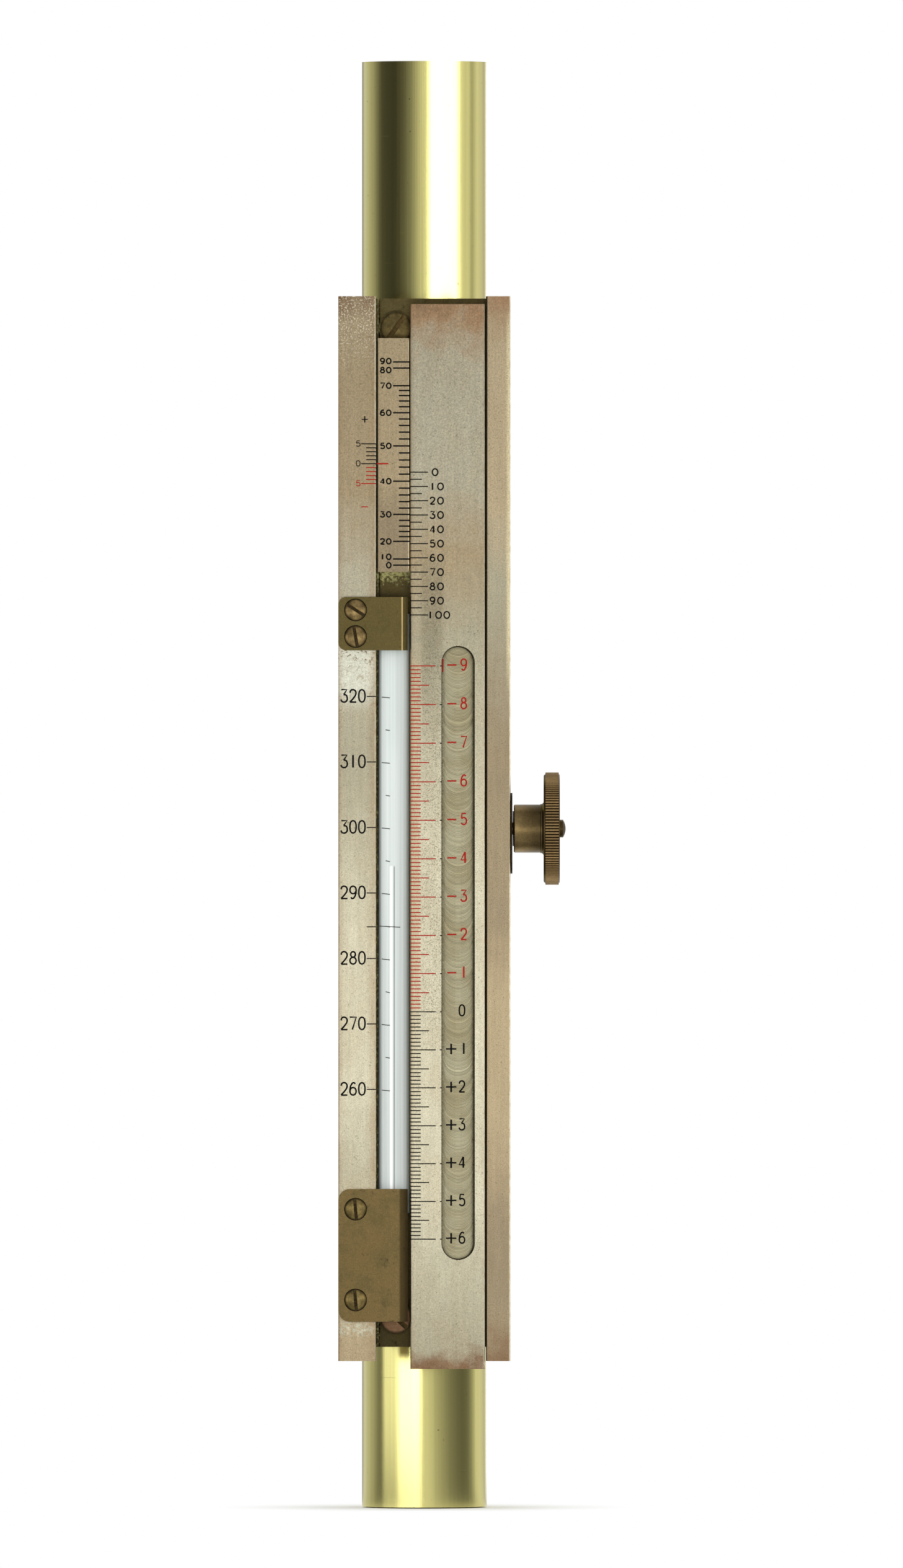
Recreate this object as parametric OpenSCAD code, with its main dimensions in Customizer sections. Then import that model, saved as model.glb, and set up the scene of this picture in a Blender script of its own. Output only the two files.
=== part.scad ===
// Correction slide of a marine mercury barometer, on the stretch of brass tube that carries it.
// Millimetres. Z runs up the tube, X to the right and Y to the back, with the viewer at -Y.
// The origin is on the tube's axis at its lower end.

/* [Brass tube] */
// Outer diameter of the brass tube
tube_d = 25.4; // [24:0.1:28]
// Wall of the brass tube
tube_wall = 1.2; // [0.8:0.1:2]
// Length of bare tube below the bars
tube_below = 30; // [26:1:120]
// Length of bare tube above the bars
tube_above = 48; // [20:1:120]

/* [Glass tube and mercury] */
// Outer diameter of the glass tube inside the brass one
glass_d = 10; // [8:0.5:14]
// Bore of the glass tube, which the mercury fills
glass_bore_d = 3; // [1.5:0.1:6]
// How far the glass tube stands back from each end of the brass tube
glass_inset = 2; // [1:0.5:10]
// Length of each packing collar round the glass
packing_l = 8; // [4:1:16]
// How far each packing collar sits inside the brass tube
packing_inset = 5; // [3:1:12]

/* [Saddles and base plate] */
// Space between the front of the tube and the back of the base plate
standoff = 3.5; // [3.2:0.1:6]
// Width of each saddle
saddle_w = 20; // [18:0.5:22]
// Length of each saddle along the tube
saddle_l = 14; // [12.5:0.5:20]
// How far each saddle reaches round the tube
saddle_reach = 7.6; // [6:0.1:8]
// Depth of the seat turned in the tube under each saddle
saddle_sink = 0.2; // [0.2:0.05:0.3]
// Width over both bars, and width of the base plate
block_w = 34.9; // [34:0.1:37]
// Length of the bars
block_l = 215.9; // [210:0.1:230]
// Thickness of the base plate
base_t = 6; // [5.8:0.1:7]
// How far the base plate stops short of the bars at the lower end
base_short_low = 2.8; // [0:0.1:4]
// How far the base plate stops short of the bars at the upper end
base_short_top = 0.4; // [0:0.1:1]
// Width of the rib that locates the left bar
rib_w = 0.65; // [0.4:0.05:0.8]
// Height of the rib that locates the left bar
rib_h = 0.45; // [0.3:0.05:0.5]

/* [Bars] */
// Width of the left bar
left_bar_w = 7.65; // [7:0.05:8]
// Width of the right bar
right_bar_w = 4.95; // [4.5:0.05:5.5]
// Thickness of both bars
bar_t = 5; // [4.8:0.1:6]
// Chamfer on the front edges of the bars, the slide and the index strip
edge = 0.2; // [0.1:0.05:0.3]
// Number of screws behind each bar
bar_screws = 4; // [3:1:4]
// Height of the lowest bar screw above the bars' lower end
bar_screw_low = 21.6; // [20:0.1:24]

/* [Correction slide] */
// Share of the space between the two bars that the slide takes, the rest being the channel
slide_share = 0.6816; // [0.66:0.0002:0.7]
// Thickness of the slide's front plate
slide_t = 3; // [2.8:0.1:3.4]
// Gap between the slide and the right bar
slide_gap = 0.15; // [0.1:0.05:0.4]
// How far the slide hangs below the bars at the setting shown
slide_drop = 1.6; // [0:0.1:10]
// Travel of the slide upwards from the setting shown
travel_up = 51.3; // [30:0.1:60]
// Travel of the slide downwards from the setting shown
travel_down = 18.8; // [10:0.1:22]
// Width of the milled recess for the numerals
recess_w = 6.75; // [5:0.05:7]
// Length of the milled recess
recess_l = 124.5; // [100:0.1:130]
// Depth of the milled recess
recess_depth = 0.9; // [0.4:0.05:1]
// Height of the recess above the slide's lower end
recess_low = 22.1; // [15:0.1:40]
// Distance from the slide's right edge to the recess
recess_edge = 2.13; // [1.5:0.01:3]

/* [Dovetail] */
// Width of the dovetail groove at its mouth
dove_w = 4.8; // [4:0.1:5]
// Depth of the dovetail groove
dove_depth = 2; // [1.6:0.1:2.2]
// Angle of the dovetail's flanks
dove_angle = 60; // [55:1:70]
// Metal left between the dovetail groove and the rack's groove
dove_wall = 1.05; // [0.8:0.05:1.4]
// Running clearance of the dovetail, the shaft and other sliding fits
run_gap = 0.05; // [0.03:0.01:0.08]

/* [Rack and pinion] */
// Module of the rack and pinion
gear_module = 0.5; // [0.4:0.05:0.5]
// Teeth on the pinion
pinion_teeth = 12; // [10:1:12]
// Width of the rack and the pinion
gear_w = 3.6; // [3:0.1:3.8]
// Thickness of the rack under its teeth
rack_back_t = 1.2; // [1:0.1:1.4]
// Length of the plain pad at each end of the rack
rack_pad = 5; // [4:0.5:8]
// Distance from the slide's right edge to the rack
rack_edge = 1.35; // [1.2:0.05:1.5]
// Diameter of the pinion's shaft
shaft_d = 2.5; // [2:0.1:2.8]

/* [Bearing and knob] */
// Outer diameter of the bearing bush
bush_d = 5; // [4:0.1:5.2]
// Thickness of the bearing plate
plate_t = 0.4; // [0.3:0.05:1]
// Height of the bearing plate
plate_h = 16.4; // [15.5:0.1:20]
// How far the middle of the bearing plate lies below the bearing
plate_drop = 0.95; // [0:0.05:1.1]
// Diameter of the friction washer
washer_d = 7.1; // [5:0.1:9]
// Thickness of the friction washer
washer_t = 0.25; // [0.15:0.05:0.5]
// Diameter of the knob's hub
hub_d = 9.75; // [8:0.05:14]
// Length of the knob's hub
hub_l = 6.05; // [4:0.05:10]
// Diameter of the knob's milled rim
rim_d = 22.8; // [18:0.1:28]
// Width of the knob's milled rim
rim_w = 3.25; // [2.5:0.05:5]
// Number of ridges on the rim
ridges = 120; // [60:1:140]
// Height of each ridge
ridge_h = 0.3; // [0.1:0.05:0.4]
// Diameter of the domed knob screw's head
dome_d = 3.6; // [3:0.1:6]
// Height of the domed head
dome_h = 1.2; // [0.9:0.05:1.5]

/* [Latitude strip] */
// Thickness of the latitude strip
strip_t = 2.4; // [2:0.1:2.6]
// Length of the latitude strip
strip_l = 47.4; // [44:0.1:48]
// Distance from the bars' upper end down to the strip
strip_top = 8.5; // [7.5:0.1:9]
// Length of the strip's foot, which slides on the channel floor
foot_l = 40; // [30:0.5:41]
// How far the strip's face lies behind the bars' face
strip_sink = 0.2; // [0.1:0.05:0.4]
// Gap on each side of the strip
strip_gap = 0.15; // [0.1:0.05:0.3]
// Travel of the strip each way from its middle
strip_travel = 4; // [2:0.1:4]
// Diameter of the clamping stud
stud_d = 2.3; // [2:0.1:3]
// Width across the flats of the clamping nut
nut_af = 4.5; // [4:0.1:6]
// Thickness of the clamping nut
nut_t = 2; // [1.5:0.1:2.2]

/* [Thermometer] */
// Gap on the left and the right of the thermometer's stem, taken together
stem_gap = 0.45; // [0.4:0.05:1]
// Height of the stem's lower end above the bars' lower end
stem_low = 30; // [28:0.5:32]
// Distance from the strip's lower end down to the stem's upper end
stem_top = 8.5; // [7.5:0.5:11]
// Bore of the stem
stem_bore_d = 0.5; // [0.3:0.05:0.8]
// Height of the mercury thread's end above the bars' lower end
thread_top = 100.5; // [60:0.5:140]
// Diameter of the bulb
bulb_d = 4; // [3.4:0.1:4.1]
// Length of the bulb
bulb_l = 16; // [12:0.5:16.5]
// Wall of the bulb
bulb_wall = 0.45; // [0.3:0.05:0.6]
// Thickness of the white backing
backing_t = 0.45; // [0.3:0.05:0.5]

/* [Thermometer brackets] */
// Thickness of the brackets' sheet
sheet_t = 1; // [0.8:0.1:1.4]
// Height of the upper bracket
upper_h = 10.8; // [10:0.1:12]
// Distance from the strip's lower end down to the upper bracket
upper_top = 5.1; // [5:0.1:6]
// Radius of the upper bracket's left corners
upper_r = 1.6; // [0.5:0.1:2]
// Height of the lower bracket
lower_h = 26.9; // [26:0.1:28]
// Height of the lower bracket's lower edge above the bars' lower end
lower_low = 8; // [7:0.1:9]
// Radius of the lower bracket's left corners
lower_r = 2.4; // [0.5:0.1:3]
// Gap between the brackets and the slide's edge
bracket_gap = 0.5; // [0.4:0.05:0.8]
// Angle of the brackets' bent edge
bend_angle = 50; // [30:1:60]

/* [Screws] */
// How much narrower the heads of the large base screws are than the channel
big_head_gap = 0.75; // [0.3:0.05:1]
// Head height of the large base screws
big_head_h = 1.8; // [1.4:0.1:2]
// Shank diameter of the large base screws
big_shank_d = 3.8; // [3:0.1:4]
// Head diameter of the bracket screws
bracket_head_d = 4.3; // [3.8:0.1:4.6]
// Head height of the bracket screws
bracket_head_h = 1.2; // [0.8:0.1:1.6]
// Shank diameter of the bracket screws
bracket_shank_d = 2.2; // [1.6:0.1:2.6]
// Shank diameter of the screws behind the bars
bar_shank_d = 3; // [2.5:0.1:3.2]
// How much narrower the heads of those screws are than the right bar
bar_head_gap = 0.45; // [0.3:0.05:0.7]
// How deep the heads of the bracket screws sit in the brackets' sheet
bracket_seat = 0.4; // [0.2:0.05:0.5]
// Shank diameter of the rack's screws
rack_shank_d = 1.6; // [1.2:0.1:1.8]

/* [Hidden] */
$fn = 64;

// Small clearance between pieces that are soldered, screwed or packed together
seat_gap = 0.02;
// Overshoot of a cutting solid past the face that it cuts
cut = 0.5;

// Tube
tube_r = tube_d / 2;
tube_in_r = tube_r - tube_wall;
block_z = tube_below;
tube_l = tube_below + block_l + tube_above;
knob_z = block_z + block_l / 2;
glass_r = glass_d / 2;

// Depths, from the tube forwards to the face of the bars
base_back_y = -(tube_r + standoff);
floor_y = base_back_y - base_t;
face_y = floor_y - bar_t;
slide_back_y = face_y + slide_t;
groove_y = floor_y + dove_depth;

// Places across the block
left_x = -block_w / 2;
right_x = block_w / 2;
left_bar_in_x = left_x + left_bar_w;
right_bar_in_x = right_x - right_bar_w;
slide_w = slide_share * (right_bar_in_x - left_bar_in_x);
slide_x1 = right_bar_in_x - slide_gap;
slide_x0 = slide_x1 - slide_w;
channel_w = slide_x0 - left_bar_in_x;
channel_x = left_bar_in_x + channel_w / 2;
rib_x0 = left_bar_in_x + 0.2;
rib_x1 = rib_x0 + rib_w;

// Heights of the base plate
base_z0 = block_z + base_short_low;
base_z1 = block_z + block_l - base_short_top;

// Large base screws, in line with the middle of each saddle
screw_edge = 5.95;
big_z = [base_z0 + screw_edge, base_z1 - screw_edge];
big_x = channel_x + 0.58;
big_head_d = channel_w - big_head_gap;
big_turn = [43, -54];
seat_depth = 0.3;
seat_r = big_head_d / 2 + 0.45;
big_tip_y = -(tube_r + 0.2);
saddle_z = [base_z0, base_z1 - saddle_l];
saddle_r = tube_r - saddle_sink;
saddle_play = 0.1;

// Bar screws
bar_screw_step = (block_l - 2 * bar_screw_low) / (bar_screws - 1);
bar_screw_z = [for (i = [0:bar_screws - 1]) block_z + bar_screw_low + i * bar_screw_step];
bar_tip_y = face_y + 1.4;
bar_head_d = right_bar_w - bar_head_gap;
left_screw_x = left_x + left_bar_w / 2;
right_screw_x = right_x - right_bar_w / 2;

// Rack and pinion
pitch = PI * gear_module;
pressure = 20;
backlash = 0.1;
pinion_r = gear_module * pinion_teeth / 2;
pinion_out_r = pinion_r + gear_module;
pinion_root_r = pinion_r - 1.2 * gear_module;
rack_add = 0.95 * pinion_r * pow(sin(pressure), 2);
rack_ded = 1.2 * gear_module;
rack_x1 = slide_x1 - rack_edge;
rack_x0 = rack_x1 - gear_w;
rack_root_y = slide_back_y + rack_back_t;
rack_pitch_y = rack_root_y + rack_ded;
rack_tip_y = rack_pitch_y + rack_add;
pinion_y = rack_pitch_y + pinion_r;
engage = 4;
teeth_low = ceil((travel_up + engage) / pitch);
teeth_high = ceil((travel_down + engage) / pitch);
rack_z0 = knob_z - teeth_low * pitch - rack_pad;
rack_z1 = knob_z + teeth_high * pitch + rack_pad;
rack_groove_y = max(rack_tip_y, floor_y) + 0.5;
rack_side_gap = 0.4;
window_x1 = rack_x1 + 0.6;
window_h = 2 * (pinion_out_r + 0.5);

// Dovetail, beside the rack's groove
dove_out = dove_depth / tan(dove_angle);
dove_x = rack_x0 - rack_side_gap - dove_wall - dove_out - dove_w / 2;
tongue_foot_gap = 0.2;

// Bearing and knob, on the pinion's axis
bush_x0 = rack_x1 + 0.2;
plate_x1 = right_x + plate_t;
plate_w = 5.6;
bush_screw_d = 1.6;
plate_z = knob_z - plate_drop;
bush_screw_z = [for (s = [-1, 1]) plate_z + s * (plate_h - plate_w) / 2];
washer_x0 = plate_x1 + run_gap;
hub_x0 = washer_x0 + washer_t;
rim_x0 = hub_x0 + hub_l;
rim_x1 = rim_x0 + rim_w;
shaft_x1 = rim_x1 - 0.8;
shaft_flat = 0.35;
knob_thread_d = 1.4;
shoulder = 0.35;
outer_shoulder = 0.2;

// Latitude strip
strip_y = face_y + strip_sink;
strip_back_y = strip_y + strip_t;
strip_x0 = left_bar_in_x + strip_gap;
strip_x1 = slide_x0 - strip_gap;
strip_z = block_z + block_l - strip_top - strip_l;
stud_x = channel_x - 0.08;
stud_z = strip_z + 23.2;
clamp_washer_t = 0.5;
foot_x0 = rib_x1 + 0.3;
foot_x1 = strip_x1 - 0.3;

// Thermometer
stem_d = channel_w - stem_gap;
stem_r = stem_d / 2;
stem_x = channel_x + stem_gap / 2;
stem_sink = 0.55;
stem_y = face_y + stem_sink + stem_r;
stem_flat_y = floor_y - backing_t - 0.1;
bulb_r = bulb_d / 2;
bulb_gap = 0.1;
bore_y = floor_y - bulb_gap - bulb_r;
stem_z0 = block_z + stem_low;
stem_z1 = strip_z - stem_top;
neck_l = 1.6;
bulb_z1 = stem_z0 - neck_l + 1;
bulb_z0 = bulb_z1 - bulb_l;

// Brackets and their screws
bracket_reach = left_bar_w + channel_w - bracket_gap;
bend_r = sheet_t + 0.6;
bend_x = left_x + bracket_reach - bend_r * sin(bend_angle);
sheet_y = face_y - sheet_t;
bracket_screw_x = left_x + 3.5;
bracket_tip_y = face_y + 3;
upper_z = strip_z - upper_top - upper_h;
lower_z = block_z + lower_low;
upper_screw_z = [upper_z + 2.8, upper_z + 8.2];
upper_turn = [80, 33];
lower_screw_z = [lower_z + 4.4, lower_z + 22.8];
lower_turn = [85, 85];

// Shared shapes

// Extrudes a profile drawn in X and Y from one height to another
module upright(z0, z1) {
    translate([0, 0, z0]) linear_extrude(z1 - z0) children();
}

// Extrudes a profile drawn in Y and Z from one X to another
module sideways(x0, x1) {
    translate([x0, 0, 0]) rotate([90, 0, 90]) linear_extrude(x1 - x0) children();
}

// Round bar along Y from y0 back to y1
module rod_y(d, x, z, y0, y1) {
    translate([x, y0, z]) rotate([-90, 0, 0]) cylinder(d = d, h = y1 - y0);
}

// Round bar along X from x0 to x1, on the pinion's axis
module rod_x(d, x0, x1) {
    translate([x0, pinion_y, knob_z]) rotate([0, 90, 0]) cylinder(d = d, h = x1 - x0);
}

// Flat bar seen from the front, with chamfers on its two long front edges
module bar_profile(x0, x1, y0, y1) {
    polygon([[x0, y1], [x1, y1], [x1, y0 + edge], [x1 - edge, y0], [x0 + edge, y0], [x0, y0 + edge]]);
}

// Slotted cheese head with a domed top, and its shank, pointing to the back
module cheese_screw(x, z, seat_y, tip_y, head_d, head_h, shank_d, slot_w, turn, dome = 1.15) {
    dome_r = head_d * dome;
    difference() {
        union() {
            intersection() {
                rod_y(head_d, x, z, seat_y - head_h, seat_y);
                translate([x, seat_y - head_h + dome_r, z]) sphere(r = dome_r, $fn = 96);
            }
            rod_y(shank_d, x, z, seat_y - head_h / 4, tip_y);
        }
        translate([x, seat_y - head_h, z]) rotate([0, turn, 0])
            cube([head_d + 1, head_h, slot_w], center = true);
    }
}

// Countersunk screw whose head is flush with a face, pointing along Z from the origin
module flush_screw(head_d, shank_d, length, slot_w) {
    cone_h = (head_d - shank_d) / 2;
    difference() {
        union() {
            cylinder(d1 = head_d, d2 = shank_d, h = cone_h);
            cylinder(d = shank_d, h = length);
        }
        cube([head_d + 1, slot_w, cone_h], center = true);
    }
}

// Hole for a countersunk screw, a little larger than the screw, pointing along Z
module flush_hole(head_d, shank_d, length) {
    cone_h = (head_d - shank_d) / 2;
    wide = 2 * seat_gap;
    translate([0, 0, -cut]) cylinder(d = head_d + wide, h = cut + seat_gap);
    translate([0, 0, seat_gap]) cylinder(d1 = head_d + wide, d2 = shank_d + wide, h = cone_h);
    cylinder(d = shank_d + wide, h = length);
}

// Brass tube with what it holds

module barometer_tube() {
    color("darkkhaki") difference() {
        cylinder(r = tube_r, h = tube_l, $fn = 128);
        translate([0, 0, -cut]) cylinder(r = tube_in_r, h = tube_l + 2 * cut, $fn = 128);
        // Shallow seats that keep the saddles from sliding
        for (z = saddle_z) translate([0, 0, z - saddle_play]) difference() {
            cylinder(r = tube_r + cut, h = saddle_l + 2 * saddle_play, $fn = 128);
            translate([0, 0, -cut]) cylinder(r = saddle_r, h = saddle_l + 2 * cut, $fn = 128);
        }
    }
}

module glass_tube() {
    color("lightcyan") translate([0, 0, glass_inset]) difference() {
        cylinder(r = glass_r, h = tube_l - 2 * glass_inset);
        translate([0, 0, -cut]) cylinder(d = glass_bore_d, h = tube_l);
    }
}

module mercury_column() {
    color("silver") translate([0, 0, glass_inset + 0.5])
        cylinder(d = glass_bore_d - 2 * seat_gap, h = tube_l - 2 * glass_inset - 1);
}

module packing(z) {
    color("peru") translate([0, 0, z]) difference() {
        cylinder(r = tube_in_r - seat_gap, h = packing_l);
        translate([0, 0, -cut]) cylinder(r = glass_r + seat_gap, h = packing_l + 2 * cut);
    }
}

module lower_packing() { packing(packing_inset); }

module upper_packing() { packing(tube_l - packing_inset - packing_l); }

// Saddle between the round tube and the flat base plate, threaded for two base screws
module saddle(z, screw_z) {
    color("darkgoldenrod") difference() {
        translate([-saddle_w / 2, base_back_y + seat_gap, z])
            cube([saddle_w, saddle_reach, saddle_l]);
        translate([0, 0, z - cut]) cylinder(r = saddle_r + seat_gap, h = saddle_l + 2 * cut, $fn = 128);
        for (x = [big_x, dove_x])
            rod_y(big_shank_d + 2 * seat_gap, x, screw_z, base_back_y - cut, 0);
    }
}

module lower_saddle() { saddle(saddle_z[0], big_z[0]); }

module upper_saddle() { saddle(saddle_z[1], big_z[1]); }

// Base plate, and what is cut in it

// Cross-section with the dovetail groove, the rack's clearance and the rib beside the left bar
module base_profile() {
    difference() {
        union() {
            translate([left_x, floor_y]) square([block_w, base_t]);
            polygon([[rib_x0, floor_y + rib_h], [rib_x0, floor_y - rib_h],
                     [rib_x1 - rib_w / 2, floor_y - rib_h], [rib_x1, floor_y - rib_h / 2],
                     [rib_x1, floor_y + rib_h]]);
        }
        polygon([[dove_x - dove_w / 2, floor_y - cut], [dove_x + dove_w / 2, floor_y - cut],
                 [dove_x + dove_w / 2, floor_y], [dove_x + dove_w / 2 + dove_out, groove_y],
                 [dove_x - dove_w / 2 - dove_out, groove_y], [dove_x - dove_w / 2, floor_y]]);
        translate([rack_x0 - rack_side_gap, floor_y - cut])
            square([gear_w + 2 * rack_side_gap, rack_groove_y - floor_y + cut]);
    }
}

module base_plate() {
    color("darkolivegreen") difference() {
        upright(base_z0, base_z1) base_profile();
        // Window for the pinion, and the bearing's bore
        translate([rack_x0 - rack_side_gap, floor_y - cut, knob_z - window_h / 2])
            cube([window_x1 - rack_x0 + rack_side_gap, base_t + 2 * cut, window_h]);
        rod_x(bush_d + 2 * seat_gap, window_x1 - cut, right_x + cut);
        for (z = bush_screw_z)
            translate([plate_x1, pinion_y, z]) rotate([0, -90, 0])
                flush_hole(bush_screw_d * 1.9, bush_screw_d, 5.5);
        // Large screws at the left, on shallow seats, and flush ones in the dovetail groove
        for (z = big_z) {
            rod_y(big_shank_d + 0.2, big_x, z, floor_y - cut, base_back_y + cut);
            rod_y(2 * seat_r, big_x, z, floor_y - rib_h - cut, floor_y + seat_depth);
            translate([dove_x, groove_y, z]) rotate([-90, 0, 0])
                flush_hole(big_head_d, big_shank_d, base_t);
        }
        // Bar screws, from behind
        for (x = [left_screw_x, right_screw_x], z = bar_screw_z)
            translate([x, base_back_y, z]) rotate([90, 0, 0])
                flush_hole(bar_head_d, bar_shank_d, base_t + cut);
        // Slot for the latitude strip's stud
        for (s = [-1, 1])
            rod_y(stud_d + 0.4, stud_x, stud_z + s * strip_travel, floor_y - cut, base_back_y + cut);
        translate([stud_x - stud_d / 2 - 0.2, floor_y - cut, stud_z - strip_travel])
            cube([stud_d + 0.4, base_t + 2 * cut, 2 * strip_travel]);
    }
}

module base_screws() {
    color("olive") for (i = [0, 1]) {
        cheese_screw(big_x, big_z[i], floor_y + seat_depth - seat_gap, big_tip_y,
                     big_head_d, big_head_h, big_shank_d, 1, big_turn[i], 3);
        translate([dove_x, groove_y + seat_gap, big_z[i]]) rotate([-90, 0, 0])
            flush_screw(big_head_d, big_shank_d, big_tip_y - groove_y - seat_gap, 0.9);
    }
}

// Bars

module bar(x0, x1, screw_x) {
    difference() {
        upright(block_z, block_z + block_l) bar_profile(x0, x1, face_y, floor_y - seat_gap);
        for (z = bar_screw_z)
            rod_y(bar_shank_d + 2 * seat_gap, screw_x, z, bar_tip_y - seat_gap, floor_y + cut);
        children();
    }
}

module left_bar() {
    color("tan") bar(left_x, left_bar_in_x, left_screw_x)
        for (z = concat(upper_screw_z, lower_screw_z))
            rod_y(bracket_shank_d + 2 * seat_gap, bracket_screw_x, z, face_y - cut,
                  bracket_tip_y + seat_gap);
}

module right_bar() {
    color("tan") bar(right_bar_in_x, right_x, right_screw_x);
}

module bar_screw_row(x) {
    for (z = bar_screw_z)
        translate([x, base_back_y - seat_gap, z]) rotate([90, 0, 0])
            flush_screw(bar_head_d, bar_shank_d, base_back_y - bar_tip_y - seat_gap, 0.7);
}

module left_bar_screws() { color("olive") bar_screw_row(left_screw_x); }

module right_bar_screws() { color("olive") bar_screw_row(right_screw_x); }

// Correction slide, with its dovetail tongue behind and its recess in front

// Cross-section of the front plate and the tongue in one outline
module slide_profile() {
    half = dove_w / 2 - run_gap;
    foot_y = groove_y - tongue_foot_gap;
    half_foot = half + (foot_y - floor_y) / tan(dove_angle);
    polygon([[slide_x0 + edge, face_y], [slide_x1 - edge, face_y], [slide_x1, face_y + edge],
             [slide_x1, slide_back_y],
             [dove_x + half, slide_back_y], [dove_x + half, floor_y], [dove_x + half_foot, foot_y],
             [dove_x - half_foot, foot_y], [dove_x - half, floor_y], [dove_x - half, slide_back_y],
             [slide_x0 + edge, slide_back_y], [slide_x0, slide_back_y - edge],
             [slide_x0, face_y + edge]]);
}

module recess() {
    x = slide_x1 - recess_edge - recess_w / 2;
    z0 = block_z - slide_drop + recess_low + recess_w / 2;
    z1 = z0 + recess_l - recess_w;
    rod_y(recess_w, x, z0, face_y - cut, face_y + recess_depth);
    rod_y(recess_w, x, z1, face_y - cut, face_y + recess_depth);
    translate([x - recess_w / 2, face_y - cut, z0]) cube([recess_w, recess_depth + cut, z1 - z0]);
}

module correction_slide() {
    z0 = block_z - slide_drop;
    color("burlywood") difference() {
        upright(z0, z0 + block_l) slide_profile();
        recess();
        for (z = rack_screw_z())
            rod_y(rack_shank_d + 2 * seat_gap, rack_mid_x(), z, rack_tip_z_y() - seat_gap,
                  slide_back_y + cut);
    }
}

// Rack and pinion

function rack_mid_x() = (rack_x0 + rack_x1) / 2;
function rack_screw_z() = [rack_z0 + rack_pad / 2, rack_z1 - rack_pad / 2];
function rack_tip_z_y() = face_y + recess_depth + 0.4;

// Straight-sided rack teeth, with a gap between two teeth at the pinion's height
module rack_profile() {
    half = pitch / 4 - backlash / 4;
    tip_half = half - rack_add * tan(pressure);
    root_half = half + rack_ded * tan(pressure);
    teeth = [for (k = [-teeth_low:teeth_high - 1]) knob_z + (k + 0.5) * pitch];
    pad_y = rack_pitch_y;
    polygon(concat(
        [[slide_back_y + seat_gap, rack_z0], [pad_y, rack_z0], [pad_y, rack_z0 + rack_pad - 0.2],
         [rack_root_y, rack_z0 + rack_pad - 0.2]],
        [for (z = teeth, p = [[rack_root_y, -root_half], [rack_tip_y, -tip_half],
                              [rack_tip_y, tip_half], [rack_root_y, root_half]])
            [p[0], z + p[1]]],
        [[rack_root_y, rack_z1 - rack_pad + 0.2], [pad_y, rack_z1 - rack_pad + 0.2],
         [pad_y, rack_z1], [slide_back_y + seat_gap, rack_z1]]));
}

module slide_rack() {
    color("goldenrod") difference() {
        sideways(rack_x0, rack_x1) rack_profile();
        for (z = rack_screw_z())
            translate([rack_mid_x(), rack_pitch_y, z]) rotate([90, 0, 0])
                flush_hole(rack_shank_d * 1.8, rack_shank_d, rack_back_t + 2);
    }
}

module rack_screws() {
    length = rack_pitch_y - seat_gap - rack_tip_z_y();
    color("olive") for (z = rack_screw_z())
        translate([rack_mid_x(), rack_pitch_y - seat_gap, z]) rotate([90, 0, 0])
            flush_screw(rack_shank_d * 1.8, rack_shank_d, length, 0.4);
}

// Angle round the pinion by which an involute flank has turned at radius r
function involute_turn(r) =
    let (base = pinion_r * cos(pressure), a = acos(min(1, base / r))) tan(a) * 180 / PI - a;

// Involute pinion with one tooth pointing straight at the rack
module pinion_profile() {
    base_r = pinion_r * cos(pressure);
    half = (pitch / 2 - backlash / 2) / pinion_r / 2 * 180 / PI + involute_turn(pinion_r);
    flank = [for (i = [0:4]) base_r + (pinion_out_r - base_r) * i / 4];
    step = 360 / pinion_teeth;
    polygon([for (k = [0:pinion_teeth - 1]) each concat(
        [pinion_root_r * [cos(180 + k * step - half), sin(180 + k * step - half)]],
        [for (r = flank) let (a = 180 + k * step - half + involute_turn(r)) r * [cos(a), sin(a)]],
        [for (i = [4:-1:0]) let (r = flank[i], a = 180 + k * step + half - involute_turn(r))
            r * [cos(a), sin(a)]],
        [pinion_root_r * [cos(180 + k * step + half), sin(180 + k * step + half)]])]);
}

module pinion() {
    color("gold") difference() {
        translate([rack_x0, pinion_y, knob_z]) rotate([90, 0, 90]) linear_extrude(gear_w)
            pinion_profile();
        rod_x(shaft_d + 2 * seat_gap, rack_x0 - cut, rack_x1 + cut);
    }
}

// Shaft with a flat for the knob and a thread for the knob's screw
module pinion_shaft() {
    color("silver") difference() {
        rod_x(shaft_d, rack_x0, shaft_x1);
        translate([hub_x0, pinion_y - shaft_d, knob_z + shaft_d / 2 - shaft_flat])
            cube([rim_w + hub_l + cut, 2 * shaft_d, shaft_d]);
        rod_x(knob_thread_d + 2 * seat_gap, shaft_x1 - 4, shaft_x1 + cut);
    }
}

// Bearing plate on the side of the base plate, with the bush that the shaft turns in
module bearing_bush() {
    color("darkgoldenrod") difference() {
        union() {
            rod_x(bush_d, bush_x0, plate_x1);
            sideways(right_x + seat_gap, plate_x1) {
                for (z = bush_screw_z) translate([pinion_y, z]) circle(d = plate_w);
                translate([pinion_y, plate_z]) square([plate_w, plate_h - plate_w], center = true);
            }
        }
        rod_x(shaft_d + 2 * run_gap, bush_x0 - cut, plate_x1 + cut);
        for (z = bush_screw_z)
            translate([plate_x1, pinion_y, z]) rotate([0, -90, 0])
                flush_hole(bush_screw_d * 1.9, bush_screw_d, 3);
    }
}

module bush_screws() {
    color("olive") for (z = bush_screw_z)
        translate([plate_x1 - seat_gap, pinion_y, z]) rotate([0, -90, 0])
            flush_screw(bush_screw_d * 1.9, bush_screw_d, 5, 0.45);
}

module friction_washer() {
    color("dimgray") difference() {
        rod_x(washer_d, washer_x0, hub_x0 - seat_gap);
        rod_x(shaft_d + 2 * seat_gap, washer_x0 - cut, hub_x0 + cut);
    }
}

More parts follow.
